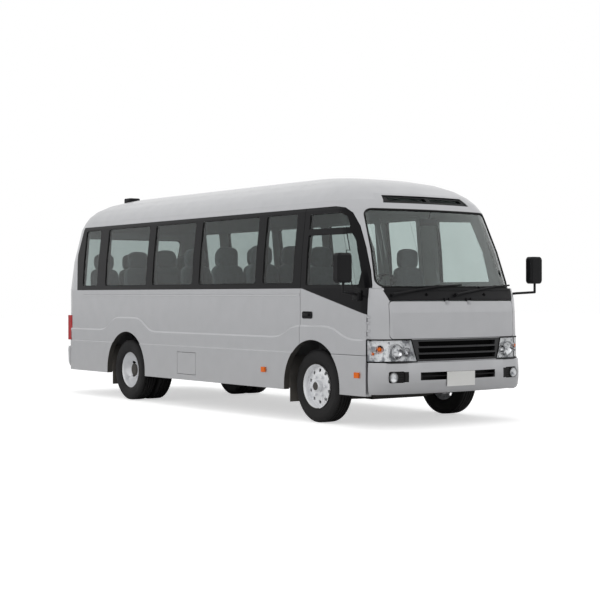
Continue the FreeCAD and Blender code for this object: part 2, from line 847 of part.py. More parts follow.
def roof_vents(shells):
    """Brow panel with two slots over the windscreen, and the low ventilator near the roof's rear."""
    layer = upper_form(skin, True).cut(upper_form(wall, True)).common(brow_space(-seat_gap))
    layer = layer.common(box(front_cut_x, half_length, -overall_width, overall_width, 0, roof_height))
    middle = (brow_bottom + brow_top) / 2
    for sign in (-1, 1):
        layer = layer.cut(box(front_cut_x, half_length + overrun, sign * brow_slot_y - brow_slot_half,
                              sign * brow_slot_y + brow_slot_half,
                              middle - brow_slot_height / 2, middle + brow_slot_height / 2))
    dome = box(ventilator_rear_x, ventilator_front_x, ventilator_y - ventilator_half, ventilator_y + ventilator_half,
               band_top_level, roof_height + ventilator_rise)
    upright = [e for e in dome.Edges if abs(e.Vertexes[0].Z - e.Vertexes[1].Z) > wall]
    dome = dome.makeFillet(ventilator_half / 3, upright)
    top = [e for e in dome.Edges if min(v.Z for v in e.Vertexes) > roof_height + ventilator_rise - 1]
    dome = dome.makeChamfer(ventilator_rise / 2, top)
    return layer, dome.cut(upper_form(-seat_gap, True))


# Side glass
def side_glass(shells):
    panes = Part.makeCompound(right_windows(-pane_gap) + left_windows(-pane_gap))
    return joined([shells.glass.common(panes)])


def upright_hinge(x, y, level, radius, on_leaf, inward):
    """Hinge knuckles about an upright line, with a tab: backwards on the leaf, forwards on the body."""
    half = hinge_height / 2
    if on_leaf:
        spans, x0, x1 = [(level - half, level + half)], x - hinge_tab, x
    else:
        gap = half + seat_gap
        spans = [(level - gap - half, level - gap), (level + gap, level + gap + half)]
        x0, x1 = x + radius / 2, x + hinge_tab
    pieces = []
    for z0, z1 in spans:
        pieces.append(Part.makeCylinder(radius, z1 - z0, V(x, y, z0)))
        y0, y1 = sorted((y, y + inward))
        pieces.append(box(x0, x1, y0, y1, z0, z1))
    return pieces


# Driver's door


def door_split(above):
    """The door's black upper or painted lower part: they meet on the belt, then on a falling line."""
    lift = seat_gap if above else 0
    front = half_length
    drop = door_slope_fall * (front - door_slope_x)
    end = roof_height if above else 0
    outline = [(-half_length, belt_level + lift), (door_slope_x, belt_level + lift),
               (front, belt_level - drop + lift), (front, end), (-half_length, end)]
    return side_prism(outline, -overall_width, 0)


def driver_door(shells):
    """Painted lower door below the belt, over the wheel arch."""
    outline = side_prism(door_outline(seam), -overall_width, -half_width / 2)
    door = shells.right_lower.common(outline).common(door_split(False))
    for level in door_hinge_levels:
        door = door.multiFuse(upright_hinge(door_front_x - seam, -door_hinge_y, level, hinge_radius, True,
                                            hinge_tab))
    return door


def driver_door_frame(shells):
    """Black upper door with a main and a vent opening; it comes lower towards the front."""
    outline = side_prism(door_outline(seam), -overall_width, -half_width / 2).common(door_split(True))
    frame = fused([shells.upper.common(outline), shells.right_lower.common(outline)])
    far, near = -half_width - overrun, -half_width / 2
    frame = frame.cut(outline_prism(door_main_window, far, near))
    return frame.cut(outline_prism(door_vent_window, far, near))


def driver_door_glass(shells):
    far, near = -half_width - overrun, -half_width / 2
    upper_pane = shells.glass.common(outline_prism(door_main_window, far, near, -pane_gap))
    vent_pane = shells.glass.common(outline_prism(door_vent_window, far, near, -pane_gap))
    return joined([upper_pane, vent_pane])


# Entry door
def entry_door(shells):
    outline = side_prism(entry_outline(seam), half_width / 2, overall_width)
    door = shells.left_lower.common(outline)
    for level in entry_hinge_levels:
        door = door.multiFuse(upright_hinge(entry_front_x - seam, entry_hinge_y, level, hinge_radius, True,
                                            -hinge_tab))
    return door


def entry_door_frame(shells):
    outline = side_prism(entry_outline(seam), half_width / 2, overall_width)
    frame = shells.upper.common(outline).common(box(-half_length, half_length, 0, overall_width,
                                                    belt_level + seat_gap, roof_height))
    return frame.cut(window_prism(*left_door_window, glass_bottom_level, glass_top_level,
                                  half_width / 2, half_width + overrun))


def entry_door_glass(shells):
    return shells.glass.common(window_prism(*left_door_window, glass_bottom_level, glass_top_level,
                                            half_width / 2, half_width + overrun, -pane_gap))


# Floor, with boxes over the wheels, a raised engine cover and the entry step
floor_thickness = 46.0
floor_edge_gap = 6.0
box_wall = 16.0
front_box_half = 520.0
rear_box_half = 500.0
front_box_top = 905.0
rear_box_top = 900.0
front_box_inner = 545.0
rear_box_inner = 520.0
cover_rear_x = 1450.0
cover_front_x = 2560.0
cover_half = 330.0
cover_top = 985.0
step_inner = 640.0
step_level = 400.0
floor_rear_x = -3380.0
floor_front_x = 3300.0


def open_box(x0, x1, y0, y1, z0, z1, thickness):
    """A box open below."""
    outer = box(x0, x1, y0, y1, z0, z1)
    return outer.cut(box(x0 + thickness, x1 - thickness, y0 + thickness, y1 - thickness,
                         z0 - overrun, z1 - thickness))


def floor():
    inside = upper_half_width - wall - floor_edge_gap
    low = floor_level - floor_thickness
    plate = lower_form(upper_half_width, wall + floor_edge_gap)
    plate = plate.common(box(floor_rear_x, floor_front_x, -overall_width, overall_width, low, floor_level))
    pieces = [plate]
    holes = []
    for axle_x, half, top, inner in ((front_axle_x, front_box_half, front_box_top, front_box_inner),
                                     (rear_axle_x, rear_box_half, rear_box_top, rear_box_inner)):
        for sign in (-1, 1):
            y0, y1 = sorted((sign * inner, sign * inside))
            pieces.append(open_box(axle_x - half, axle_x + half, y0, y1, low, top, box_wall))
            clear0, clear1 = sorted((sign * (inner + box_wall), sign * (inside + overrun)))
            holes.append(box(axle_x - half + box_wall, axle_x + half - box_wall, clear0, clear1,
                             low - overrun, top - box_wall))
    pieces.append(open_box(cover_rear_x, cover_front_x, -cover_half, cover_half, low, cover_top, box_wall))
    holes.append(box(cover_rear_x + box_wall, cover_front_x - box_wall, -cover_half + box_wall,
                     cover_half - box_wall, low - overrun, cover_top - box_wall))
    well_front = min(entry_front_x, front_axle_x - front_box_half) - seam
    well = box(entry_rear_x, well_front, step_inner, inside, step_level - floor_thickness, floor_level)
    well_clear = box(entry_rear_x + box_wall, well_front - box_wall, step_inner + box_wall, inside + overrun,
                     step_level, floor_level + overrun)
    for sign, front_x in ((-1, door_rear_x), (1, entry_rear_x)):
        y0, y1 = sorted((sign * (inside - floor_edge_gap), sign * (upper_half_width - wall - seat_gap)))
        pieces.append(box(floor_rear_x + 8 * wall, front_x - 4 * seam, y0, y1, low + skin, floor_level - skin))
    body = pieces[0].multiFuse(pieces[1:] + [well])
    return body.cut(Part.makeCompound(holes)).cut(well_clear).removeSplitter()


# Ladder chassis
rail_y = 410.0
rail_width = 62.0
rail_height = 150.0
rail_top = 668.0
rail_wall = 8.0
rail_rear_x = -3300.0
rail_front_x = 3120.0
cross_member_shares = [0.0, 0.16, 0.33, 0.52, 0.66, 0.945, 1.0]
cross_member_height = 48.0
outrigger_share = 0.62
outrigger_places = (-2860.0, -760.0, 900.0)
tow_eye_radius = 42.0
tow_eye_bore = 20.0
tow_eye_thickness = 20.0
jack_pad_half = 40.0
jack_places = (700.0, -2700.0)


def channel(x0, x1, sign):
    """A rail of channel section, open towards the middle."""
    y0, y1 = sorted((sign * (rail_y - rail_width / 2), sign * (rail_y + rail_width / 2)))
    outer = box(x0, x1, y0, y1, rail_top - rail_height, rail_top)
    c0, c1 = sorted((sign * (rail_y - rail_width), sign * (rail_y + rail_width / 2 - rail_wall)))
    return outer.cut(box(x0 - overrun, x1 + overrun, c0, c1,
                         rail_top - rail_height + rail_wall, rail_top - rail_wall))


def chassis_frame():
    pieces = [channel(rail_rear_x, rail_front_x, sign) for sign in (-1, 1)]
    length = rail_front_x - rail_rear_x - rail_width
    bottom = rail_top - rail_height
    for share in cross_member_shares:
        x = rail_rear_x + share * length
        high = rail_top - rail_wall
        low = high - cross_member_height
        pieces.append(box(x, x + rail_width, -rail_y - rail_width / 2 + rail_wall / 2,
                          rail_y + rail_width / 2 - rail_wall / 2, low, high))
    low, high = bottom - tow_eye_thickness / 2, bottom + tow_eye_thickness / 2
    for end_x, way in ((rail_front_x, 1), (rail_rear_x, -1)):
        eye_x = end_x + way * tow_eye_radius
        x0, x1 = sorted((end_x - way * 2 * tow_eye_radius, eye_x))
        for sign in (-1, 1):
            y = sign * rail_y
            plate = box(x0, x1, y - tow_eye_radius, y + tow_eye_radius, low, high)
            plate = plate.fuse(rod(V(eye_x, y, low), V(eye_x, y, high), tow_eye_radius))
            pieces.append(plate.cut(rod(V(eye_x, y, low - skin), V(eye_x, y, high + skin), tow_eye_bore)))
    for x in jack_places:
        for sign in (-1, 1):
            y = sign * rail_y
            pieces.append(box(x - jack_pad_half, x + jack_pad_half, y - rail_width / 2, y + rail_width / 2,
                              bottom - skin, bottom + rail_wall))
    outer = half_width - wall - skin
    for x in outrigger_places:
        for sign in (-1, 1):
            y0, y1 = sorted((sign * rail_y, sign * outer * outrigger_share))
            pieces.append(box(x, x + rail_width, y0, y1, rail_top - rail_width, rail_top))
            y0, y1 = sorted((sign * (rail_y - rail_width / 2), sign * (rail_y + rail_width / 2)))
            pieces.append(box(x, x + rail_width, y0, y1,
                              rail_top - rail_wall, floor_level - floor_thickness - seat_gap))
    return fused(pieces)


# Engine block under the cover, with the gearbox behind it
engine_rear_x = 1640.0
engine_front_x = 2500.0
engine_half = 270.0
engine_bottom = 430.0
engine_top = 930.0
gearbox_rear_x = 1060.0
gearbox_taper_share = 0.7
gearbox_radius = 124.0
shaft_z = 500.0
shaft_radius = 42.0
flange_radius = 78.0


def engine():
    block = box(engine_rear_x, engine_front_x, -engine_half, engine_half, engine_bottom, engine_top)
    edges = [e for e in block.Edges if abs(e.Vertexes[0].X - e.Vertexes[1].X) > wall]
    block = block.makeFillet(engine_half / 4, edges)
    case = Part.makeCone(gearbox_radius * gearbox_taper_share, gearbox_radius, engine_rear_x - gearbox_rear_x + skin,
                         V(gearbox_rear_x, 0, shaft_z + wall), FORWARD)
    return block.fuse(case).removeSplitter()


# Rear axle and leaf springs
hub_z = tyre_radius
axle_tube_radius = 62.0
leaf_step_share = 0.22
differential_radius = 178.0
axle_half = 905.0
spring_y = 505.0
spring_width = 70.0
spring_half = 640.0
spring_leaf = 12.0
spring_rise = 98.0
spring_leaves = 4
rear_wheel_bore = 70.0


def rear_axle():
    """Beam axle with a banjo, its leaf springs under the rails and two dampers."""
    x = rear_axle_x
    tube = cylinder_y(x, hub_z, -rear_drum_inner, rear_drum_inner, axle_tube_radius)
    spindle = cylinder_y(x, hub_z, -axle_half, axle_half, rear_wheel_bore - seam)
    banjo = rod(V(x - axle_tube_radius, 0, hub_z), V(x + axle_tube_radius, 0, hub_z), differential_radius)
    cover = rod(V(x - axle_tube_radius - wall, 0, hub_z), V(x, 0, hub_z), differential_radius - wall)
    nose = rod(V(x, 0, hub_z), V(x + differential_radius + wall, 0, hub_z + wall), flange_radius)
    pieces = [tube, spindle, banjo, cover, nose]
    under = hub_z + axle_tube_radius - spring_leaf
    for sign in (-1, 1):
        for i in range(spring_leaves):
            half = spring_half * (1 - leaf_step_share * i)
            top = under + (spring_leaves - i) * spring_leaf
            pieces.append(leaf(x, sign * spring_y, top, half, spring_rise * (half / spring_half) ** 2))
        pad = box(x - rail_width, x + rail_width, sign * spring_y - spring_width / 2,
                  sign * spring_y + spring_width / 2, hub_z, under + spring_leaf)
        pieces.append(pad)
        for end in (-1, 1):
            eye_x = x + end * spring_half
            eye_z = under + spring_leaves * spring_leaf + spring_rise
            eye = cylinder_y(eye_x, eye_z, sign * spring_y - spring_width / 2, sign * spring_y + spring_width / 2,
                             spring_leaf * 2)
            pieces.append(eye)
            inner, outer = rail_y + rail_width / 2 + seat_gap, spring_y + spring_width / 2
            y0, y1 = sorted((sign * inner, sign * outer))
            hanger = box(eye_x - spring_leaf * 2, eye_x + spring_leaf * 2, y0, y1,
                         eye_z, rail_top - rail_wall)
            pieces.append(hanger)
    return fused(pieces)


def leaf(x, y, top, half, rise):
    """One spring leaf, an arc that rises towards its ends."""
    lower = [V(x - half, 0, top + rise), V(x, 0, top), V(x + half, 0, top + rise)]
    upper = [p + V(0, 0, spring_leaf) for p in lower]
    y0 = y - spring_width / 2
    lower, upper = [[p + V(0, y0, 0) for p in line] for line in (lower, upper)]
    edges = [arc(*lower), Part.makeLine(lower[2], upper[2]),
             arc(*reversed(upper)), Part.makeLine(upper[0], lower[0])]
    return Part.Face(Part.Wire(edges)).extrude(V(0, spring_width, 0))


# Propeller shaft in two runs with a centre bearing
def propeller_shaft():
    back = V(rear_axle_x + differential_radius + wall + skin, 0, hub_z + wall)
    middle = V((rear_axle_x + gearbox_rear_x) / 2, 0, shaft_z)
    front = V(gearbox_rear_x - skin, 0, shaft_z + wall)
    pieces = [rod(back, middle, shaft_radius), rod(middle, front, shaft_radius)]
    for end, towards in ((back, middle), (front, middle)):
        pieces.append(rod(end, end + (towards - end).normalize() * skin * 2, flange_radius))
    bearing_half = rail_y - rail_width / 2 + rail_wall * 2
    pieces.append(box(middle.x - skin, middle.x + skin, -flange_radius, flange_radius,
                      shaft_z - flange_radius, rail_top - rail_height))
    pieces.append(box(middle.x - skin * 2, middle.x + skin * 2, -bearing_half, bearing_half,
                      rail_top - rail_height - skin, rail_top - rail_height - seat_gap))
    return fused(pieces)


# Front suspension: cross member, wishbones and steering link
kingpin_y = 782.0
arm_thickness = 26.0
arm_inner_y = 330.0
upper_arm_level = 560.0
lower_arm_level = 235.0
arm_spread = 190.0
ball_radius = 30.0
knuckle_gap = 0.3
link_x_offset = 150.0
link_level = 330.0
link_radius = 14.0


def wishbone(sign, level, inner, outer):
    """A flat A-shaped arm with a round boss at its outer end."""
    x = front_axle_x
    face = Part.Face(polygon([(x - arm_spread, sign * inner, level), (x - arm_spread + wall, sign * inner, level),
                              (x, sign * (outer - 3 * wall), level), (x + arm_spread - wall, sign * inner, level),
                              (x + arm_spread, sign * inner, level), (x + ball_radius, sign * outer, level),
                              (x - ball_radius, sign * outer, level)]))
    arm = face.extrude(V(0, 0, arm_thickness))
    boss = Part.makeCylinder(ball_radius, arm_thickness, V(x, sign * outer, level))
    return arm.fuse(boss)


def front_suspension():
    """Cross member under the engine, two wishbones a side and the steering rack with its boots."""
    x = front_axle_x
    reach = arm_spread + wall / 4
    half = rail_y + rail_width / 2
    lower_rail = rail_top - rail_height
    member = box(x - reach, x + reach, -arm_inner_y - wall, arm_inner_y + wall,
                 lower_arm_level - rail_wall, lower_arm_level + 2 * wall)
    pieces = [member]
    for sign in (-1, 1):
        y0, y1 = sorted((sign * arm_inner_y, sign * (arm_inner_y + wall)))
        pieces.append(box(x - reach, x + reach, y0, y1, lower_arm_level, lower_rail - seat_gap))
        pieces.append(wishbone(sign, lower_arm_level, arm_inner_y + rail_wall, kingpin_y))
        tower0, tower1 = sorted((sign * (half + seat_gap), sign * (half + wall)))
        pieces.append(box(x - reach, x + reach, tower0, tower1, lower_rail - wall, rail_top))
        link0, link1 = sorted((sign * arm_inner_y, sign * (half + wall)))
        pieces.append(box(x - reach, x + reach, link0, link1, lower_rail - wall, lower_rail - seat_gap))
        pieces.append(wishbone(sign, upper_arm_level, half + seat_gap + rail_wall, kingpin_y))
    return fused(pieces)


# Steered knuckles: an upright between the arms' bosses, with a spindle and a brake disc
spindle_radius = 34.0
disc_radius = 158.0
disc_thickness = 24.0
caliper_width = 62.0
front_spindle_end = 905.0


def knuckle(sign):
    x = front_axle_x
    low = lower_arm_level + arm_thickness + knuckle_gap
    high = upper_arm_level - knuckle_gap
    pin = Part.makeCylinder(ball_radius, high - low, V(x, sign * kingpin_y, low))
    y0, y1 = sorted((sign * kingpin_y, sign * front_spindle_end))
    spindle = cylinder_y(x, hub_z, y0, y1, spindle_radius)
    arm = box(x - link_x_offset - link_radius, x, min(sign * kingpin_y, sign * (kingpin_y - wall)),
              max(sign * kingpin_y, sign * (kingpin_y - wall)), link_level - link_radius, link_level + link_radius)
    c0, c1 = sorted((sign * kingpin_y, sign * (front_disc_y + disc_thickness + skin)))
    caliper = box(x - disc_radius - skin, x - stud_circle, c0, c1, hub_z - caliper_width, hub_z + caliper_width)
    slot0, slot1 = sorted((sign * (front_disc_y - seam), sign * (front_disc_y + disc_thickness + seam)))
    caliper = caliper.cut(cylinder_y(x, hub_z, slot0, slot1, disc_radius + seam))
    brace = box(x - disc_radius, x, min(sign * (kingpin_y - ball_radius), sign * (front_disc_y - seam)),
                max(sign * (kingpin_y - ball_radius), sign * (front_disc_y - seam)), hub_z - wall / 2, hub_z + wall / 2)
    return fused([pin, spindle, arm, caliper, brace])


front_disc_y = kingpin_y + ball_radius + 3.0

# Wheels
front_rim_outer = 970.0
rear_outer_wheel_y = 893.0
rear_inner_wheel_y = 657.0
rim_width = 152.0
rim_wall = 7.0
rim_lip_share = 0.09
bead_radius = 222.0
disc_plate = 9.0
hub_hole_radius = 66.0
hand_hole_radius = 19.0
hand_holes = 10
hand_hole_circle = 165.0
stud_circle = 104.0
stud_radius = 11.0
studs = 6
ring_sides = 48
cap_side_share = 0.7
cap_shoulder_share = 0.94
cap_end_share = 0.7
rear_cap_share = 0.8
rear_hub_share = 0.3
rear_disc_share = 0.45
cap_radius = 62.0
cap_length = 52.0
front_dish = 40.0
rear_dish = 118.0
rear_hand_holes = 6
rear_drum_inner = 540.0
drum_radius = 168.0


def turned(sections, axis=LEFT):
    """A ring or disc about an axis: joined outlines of (along, radius) points, swept in flat-sided steps."""
    faces = []
    for points in sections:
        face = Part.Face(polygon([(0, y, radius) for y, radius in points]))
        if face.normalAt(0, 0).x < 0:
            face = Part.Face(polygon([(0, y, radius) for y, radius in reversed(points)]))
        faces.append(face)
    outline = [v.Point for v in fused(faces).Faces[0].OuterWire.OrderedVertexes]
    rings = []
    for k in range(ring_sides):
        angle = 2 * math.pi * (k + 0.5) / ring_sides
        rings.append([V(p.z * math.cos(angle), p.y, p.z * math.sin(angle)) for p in outline])
    panels = []
    for k in range(ring_sides):
        near, far = rings[k - 1], rings[k]
        for i in range(len(outline)):
            corners = [near[i - 1], near[i]]
            corners += [p for p in (far[i], far[i - 1]) if p.x or p.z]
            if len(corners) > 2:
                panels.append(Part.Face(Part.makePolygon(corners + [corners[0]])))
    solid = Part.makeSolid(Part.makeShell(panels))
    solid = solid if solid.Volume > 0 else solid.reversed()
    if axis != LEFT:
        solid.rotate(V(0, 0, 0), V(1, 0, 0), 90)
    return solid.removeSplitter()


def rim_section(y0, y1):
    """Outline of a rim with outward lips between y0 and y1."""
    w = y1 - y0
    lip = rim_lip_share * w
    flange, bead, t = rim_flange_radius, bead_radius, rim_wall
    return [(y0, flange), (y0 + lip, bead), (y1 - lip, bead), (y1, flange),
            (y1, flange - t), (y1 - 2 * lip, bead - 2 * t), (y0 + 2 * lip, bead - 2 * t), (y0, flange - t)]


def disc_section(face_y, rim_y):
    """Outline of a dished disc: a flat hub face at face_y that slopes out to the rim at rim_y."""
    inner, flat = hub_hole_radius, stud_circle + 2 * stud_radius
    edge = bead_radius - rim_wall - rim_wall / 2
    t = disc_plate
    sign = 1 if face_y >= 0 else -1
    return [(face_y, inner), (face_y, flat), (rim_y, edge), (rim_y - sign * 2 * t, edge),
            (face_y - sign * t, flat - t / 4), (face_y - sign * t, inner)]


def holes_through(count, y0, y1):
    """The ring of hand holes through a disc."""
    pieces = []
    for i in range(count):
        angle = 2 * math.pi * (i + 0.5) / count
        x, z = hand_hole_circle * math.cos(angle), hand_hole_circle * math.sin(angle)
        pieces.append(cylinder_y(x, z, y0, y1, hand_hole_radius))
    return pieces


def stud_ring(face_y, count=studs):
    pieces = []
    for i in range(count):
        angle = 2 * math.pi * i / count
        x, z = stud_circle * math.cos(angle), stud_circle * math.sin(angle)
        pieces.append(cylinder_y(x, z, face_y - disc_plate, face_y + 2 * stud_radius, stud_radius))
    return pieces


def front_wheel():
    """Left front wheel about the origin: rim, disc, hub, cap, brake disc and studs."""
    outer = front_rim_outer
    face = outer - front_dish
    brake_outer = front_disc_y + disc_thickness
    bore = spindle_radius + seat_gap
    disc = disc_section(face, face - 2 * disc_plate)
    hub = [(brake_outer, bore), (face - disc_plate / 2, bore), (face - disc_plate / 2, stud_circle - skin),
           (brake_outer, stud_circle - skin)]
    seat_radius = hub_hole_radius + skin / 4
    cap = [(face - disc_plate, 0), (face - disc_plate, seat_radius), (face, seat_radius),
           (face, cap_radius), (face + cap_length * cap_side_share, cap_radius * cap_shoulder_share),
           (face + cap_length, cap_radius * cap_end_share), (face + cap_length, 0)]
    brake = [(front_disc_y, bore + 2 * skin), (brake_outer, bore),
             (brake_outer, disc_radius), (front_disc_y, disc_radius)]
    wheel = turned([rim_section(outer - rim_width, outer), disc, hub, cap, brake])
    wheel = wheel.cut(joined(holes_through(hand_holes, brake_outer + disc_plate, outer)))
    return fused([wheel] + stud_ring(face))


def rear_wheels():
    """Left rear pair about the origin: two rims, two discs face to face, drum, hub and studs."""
    outer_face = rear_outer_wheel_y + rim_width / 2
    inner_face = rear_inner_wheel_y - rim_width / 2
    meet = (rear_outer_wheel_y + rear_inner_wheel_y) / 2
    face = meet + disc_plate
    back = meet - disc_plate
    outer_rim = rim_section(outer_face - rim_width, outer_face)
    inner_rim = rim_section(inner_face, inner_face + rim_width)
    outer_disc = disc_section(face, outer_face - rim_width * rear_disc_share)
    inner_disc = [(2 * meet - y, radius) for y, radius in disc_section(face, 2 * meet - rear_inner_wheel_y)]
    plate = [(back, hub_hole_radius), (face, hub_hole_radius), (face, stud_circle + stud_radius),
             (back, stud_circle + stud_radius)]
    bore = rear_wheel_bore
    hub_end = meet + rear_dish * rear_hub_share
    hub = [(rear_drum_inner + skin, bore), (hub_end, bore), (hub_end, cap_radius + 2 * skin),
           (meet, cap_radius + 2 * skin), (meet, drum_radius), (rear_drum_inner + skin, drum_radius)]
    end = axle_half + seam
    cap = [(hub_end, bore), (end, bore), (end, 0), (end + skin, 0), (end + skin, bore * rear_cap_share),
           (end, bore + skin), (hub_end, bore + skin)]
    pair = turned([outer_rim, inner_rim, outer_disc, inner_disc, plate, hub, cap])
    pair = pair.cut(joined(holes_through(rear_hand_holes, face + disc_plate / 2, outer_face)))
    return fused([pair] + stud_ring(face))


# Tyres
bead_seat_gap = 0.4
bulge_share = 0.62
tread_share = 0.86


def tyre_about(y_middle):
    """A closed tyre body on its rim, with bulged side walls and rounded shoulders."""
    h = tyre_width / 2
    r, s = tyre_radius, bead_radius + bead_seat_gap
    b = rim_width / 2 - rim_width * rim_lip_share
    bulge = s + bulge_share * (r - s)
    tread = tread_share * h
    outline = [(-b, s), (-h, bulge), (-tread, r), (tread, r), (h, bulge), (b, s)]
    return turned([[(y_middle + y, radius) for y, radius in outline]])


def placed(shape, axle_x):
    moved = shape.copy()
    moved.translate(V(axle_x, 0, hub_z))
    return moved


# Fuel tank behind the lid, exhaust and mud flaps
tank_strap_shares = (0.22, 0.78)
tank_rear_x = -620.0
tank_front_x = 420.0
tank_inner = 500.0
tank_outer = 880.0
tank_bottom = 330.0
tank_top = 640.0
tank_round = 70.0
filler_radius = 28.0
pipe_radius = 27.0
silencer_radius = 92.0
exhaust_y = 270.0
exhaust_level = 395.0
hop_start_share = 0.6
hop_top_share = 0.25
hop_end_share = 0.4
silencer_rear_x = -700.0
silencer_front_x = -100.0
flap_width = 235.0
rear_flap_width = 408.0
flap_thickness = 8.0
front_flap_x = 1880.0
front_flap_bottom = 190.0
rear_flap_x = -2060.0
rear_flap_bottom = 175.0


def fuel_tank():
    """Rounded tank outside the right rail, held by two straps, with its filler neck behind the lid."""
    tank = box(tank_rear_x, tank_front_x, -tank_outer, -tank_inner, tank_bottom, tank_top)
    along = [e for e in tank.Edges if abs(e.Vertexes[0].X - e.Vertexes[1].X) > wall]
    tank = tank.makeFillet(tank_round, along)
    pieces = [tank]
    for share in tank_strap_shares:
        x = tank_rear_x + share * (tank_front_x - tank_rear_x)
        pieces.append(box(x, x + wall, -tank_inner - wall, -rail_y - rail_width / 2 - seat_gap,
                          rail_top - rail_height + rail_wall, tank_top - rail_wall))
        pieces.append(box(x, x + wall, -tank_inner - wall, -tank_inner + wall / 2,
                          tank_top - tank_round, tank_top))
    middle = (fuel_lid_rear_x + fuel_lid_front_x) / 2
    pieces.append(rod(V(middle, -tank_outer + wall, fuel_lid_bottom + 2 * wall),
                      V(middle, -half_width + 2 * wall, fuel_lid_top - 2 * wall), filler_radius))
    return fused(pieces)


def exhaust():
    """Front pipe, silencer and tail pipe inside the left rail, ending behind the rear wheels."""
    front = V(engine_rear_x - wall, exhaust_y, exhaust_level)
    silencer = rod(V(silencer_rear_x, exhaust_y, exhaust_level), V(silencer_front_x, exhaust_y, exhaust_level),
                   silencer_radius)
    turn = V(engine_rear_x + 3 * wall, exhaust_y / 2, exhaust_level)
    down = rod(front, turn, pipe_radius).fuse(Part.makeSphere(pipe_radius, turn))
    down = down.fuse(rod(turn, V(turn.x, turn.y, engine_bottom - seat_gap), pipe_radius))
    run = rod(V(silencer_front_x - skin, exhaust_y, exhaust_level), front, pipe_radius)
    hop_level = hub_z + differential_radius + wall
    a = V(silencer_rear_x + skin, exhaust_y, exhaust_level)
    b = V(rear_axle_x + spring_half * hop_start_share, exhaust_y, exhaust_level)
    c = V(rear_axle_x + spring_half * hop_top_share, exhaust_y, hop_level)
    d = V(rear_axle_x - spring_half * hop_end_share, exhaust_y, hop_level)
    e = V(rear_axle_x - spring_half, exhaust_y, exhaust_level)
    f = V(-half_length + 3 * wall, exhaust_y, exhaust_level)
    pieces = [silencer, run]
    line = [a, b, c, d, e, f]
    for p, q in zip(line, line[1:]):
        pieces.append(rod(p, q, pipe_radius))
    for p in line[1:-1]:
        pieces.append(Part.makeSphere(pipe_radius, p))
    pieces.append(Part.makeSphere(pipe_radius, front))
    pieces.append(down)
    for x in (silencer_rear_x + wall, -half_length + 6 * wall):
        pieces.append(box(x, x + wall / 2, exhaust_y - skin / 2, rail_y - rail_width / 2 - seat_gap,
                          exhaust_level, exhaust_level + skin))
        inner = rail_y - rail_width / 2
        pieces.append(box(x, x + wall / 2, inner - skin, inner - seat_gap,
                          exhaust_level, rail_top - rail_height + 2 * wall))
    return fused(pieces)


def mud_flaps():
    flaps = []
    for x, bottom, top in ((front_flap_x, front_flap_bottom, floor_level - floor_thickness - seat_gap),
                           (rear_flap_x, rear_flap_bottom, floor_level - floor_thickness - seat_gap)):
        for sign in (-1, 1):
            outer = upper_half_width - wall - seat_gap
            width = flap_width if x > 0 else rear_flap_width
            y0, y1 = sorted((sign * (outer - width), sign * outer))
            flaps.append(box(x - flap_thickness / 2, x + flap_thickness / 2, y0, y1, bottom, top))
    return joined(flaps)


# Dashboard, column and steering wheel
dash_front_x = 3290.0
dash_rear_x = 2860.0
dash_half = 905.0
dash_top = 1290.0
dash_bottom = 880.0
driver_y = -500.0
wheel_rim_radius = 205.0
wheel_rim_thickness = 15.0
wheel_centre_x = 2740.0
spoke_turns = (90, 200, 340)
wheel_centre_z = 1425.0
wheel_tilt = 32.0
rim_sides = 6
column_radius = 34.0


def dashboard():
    """Dashboard moulding across the cab with the driver's binnacle and the steering column."""
    profile = [(dash_rear_x + wall, dash_bottom), (dash_front_x - 2 * wall, dash_bottom - wall),
               (dash_front_x - wall, dash_top - wall), (dash_front_x - 2 * wall, dash_top),
               (dash_rear_x + 2 * wall, dash_top - skin), (dash_rear_x, dash_top - 2 * wall),
               (dash_rear_x, dash_bottom + 3 * wall)]
    body = side_prism(profile, -dash_half + 2 * wall, dash_half - 2 * wall)
    pod = side_prism([(dash_rear_x + skin, dash_top - 2 * wall), (dash_front_x - 3 * wall, dash_top - wall),
                      (dash_front_x - 4 * wall, dash_top + wall), (dash_rear_x + skin * 3, dash_top + wall)],
                     driver_y - 4 * wall, driver_y + 4 * wall)
    leg = box(dash_rear_x + 2 * wall, dash_rear_x + 3 * wall, -dash_half + 3 * wall, dash_half - 3 * wall,
              floor_level + seat_gap, dash_bottom + wall)
    foot = leg.cut(box(dash_rear_x, dash_front_x, -dash_half + 4 * wall, dash_half - 4 * wall,
                       floor_level - wall, dash_bottom - wall))
    tilt = math.radians(wheel_tilt)
    way = V(math.cos(math.pi / 2 - tilt), 0, -math.sin(math.pi / 2 - tilt))
    top = V(wheel_centre_x, driver_y, wheel_centre_z) + way * (2 * wall + seat_gap)
    column = rod(top, top + way * (6 * wall), column_radius)
    return fused([body, pod, foot, column])


def steering_wheel():
    centre = V(wheel_centre_x, driver_y, wheel_centre_z)
    section = [(wheel_rim_radius + wheel_rim_thickness * math.cos(a), wheel_rim_thickness * math.sin(a))
               for a in (math.pi * (2 * i + 1) / rim_sides for i in range(rim_sides))]
    rim_ring = turned([[(z, radius) for radius, z in section]], UP)
    hub = rod(V(0, 0, -2 * wall), V(0, 0, 0), column_radius + column_radius / 2)
    pieces = [rim_ring, hub]
    for angle in spoke_turns:
        spoke = box(0, wheel_rim_radius, -wheel_rim_thickness, wheel_rim_thickness,
                    -wheel_rim_thickness - wall / 4, wheel_rim_thickness / 2 - wall / 4)
        spoke.rotate(V(0, 0, 0), UP, angle)
        pieces.append(spoke)
    wheel = fused(pieces)
    wheel.rotate(V(0, 0, 0), LEFT, -(wheel_tilt))
    wheel.translate(centre)
    return wheel


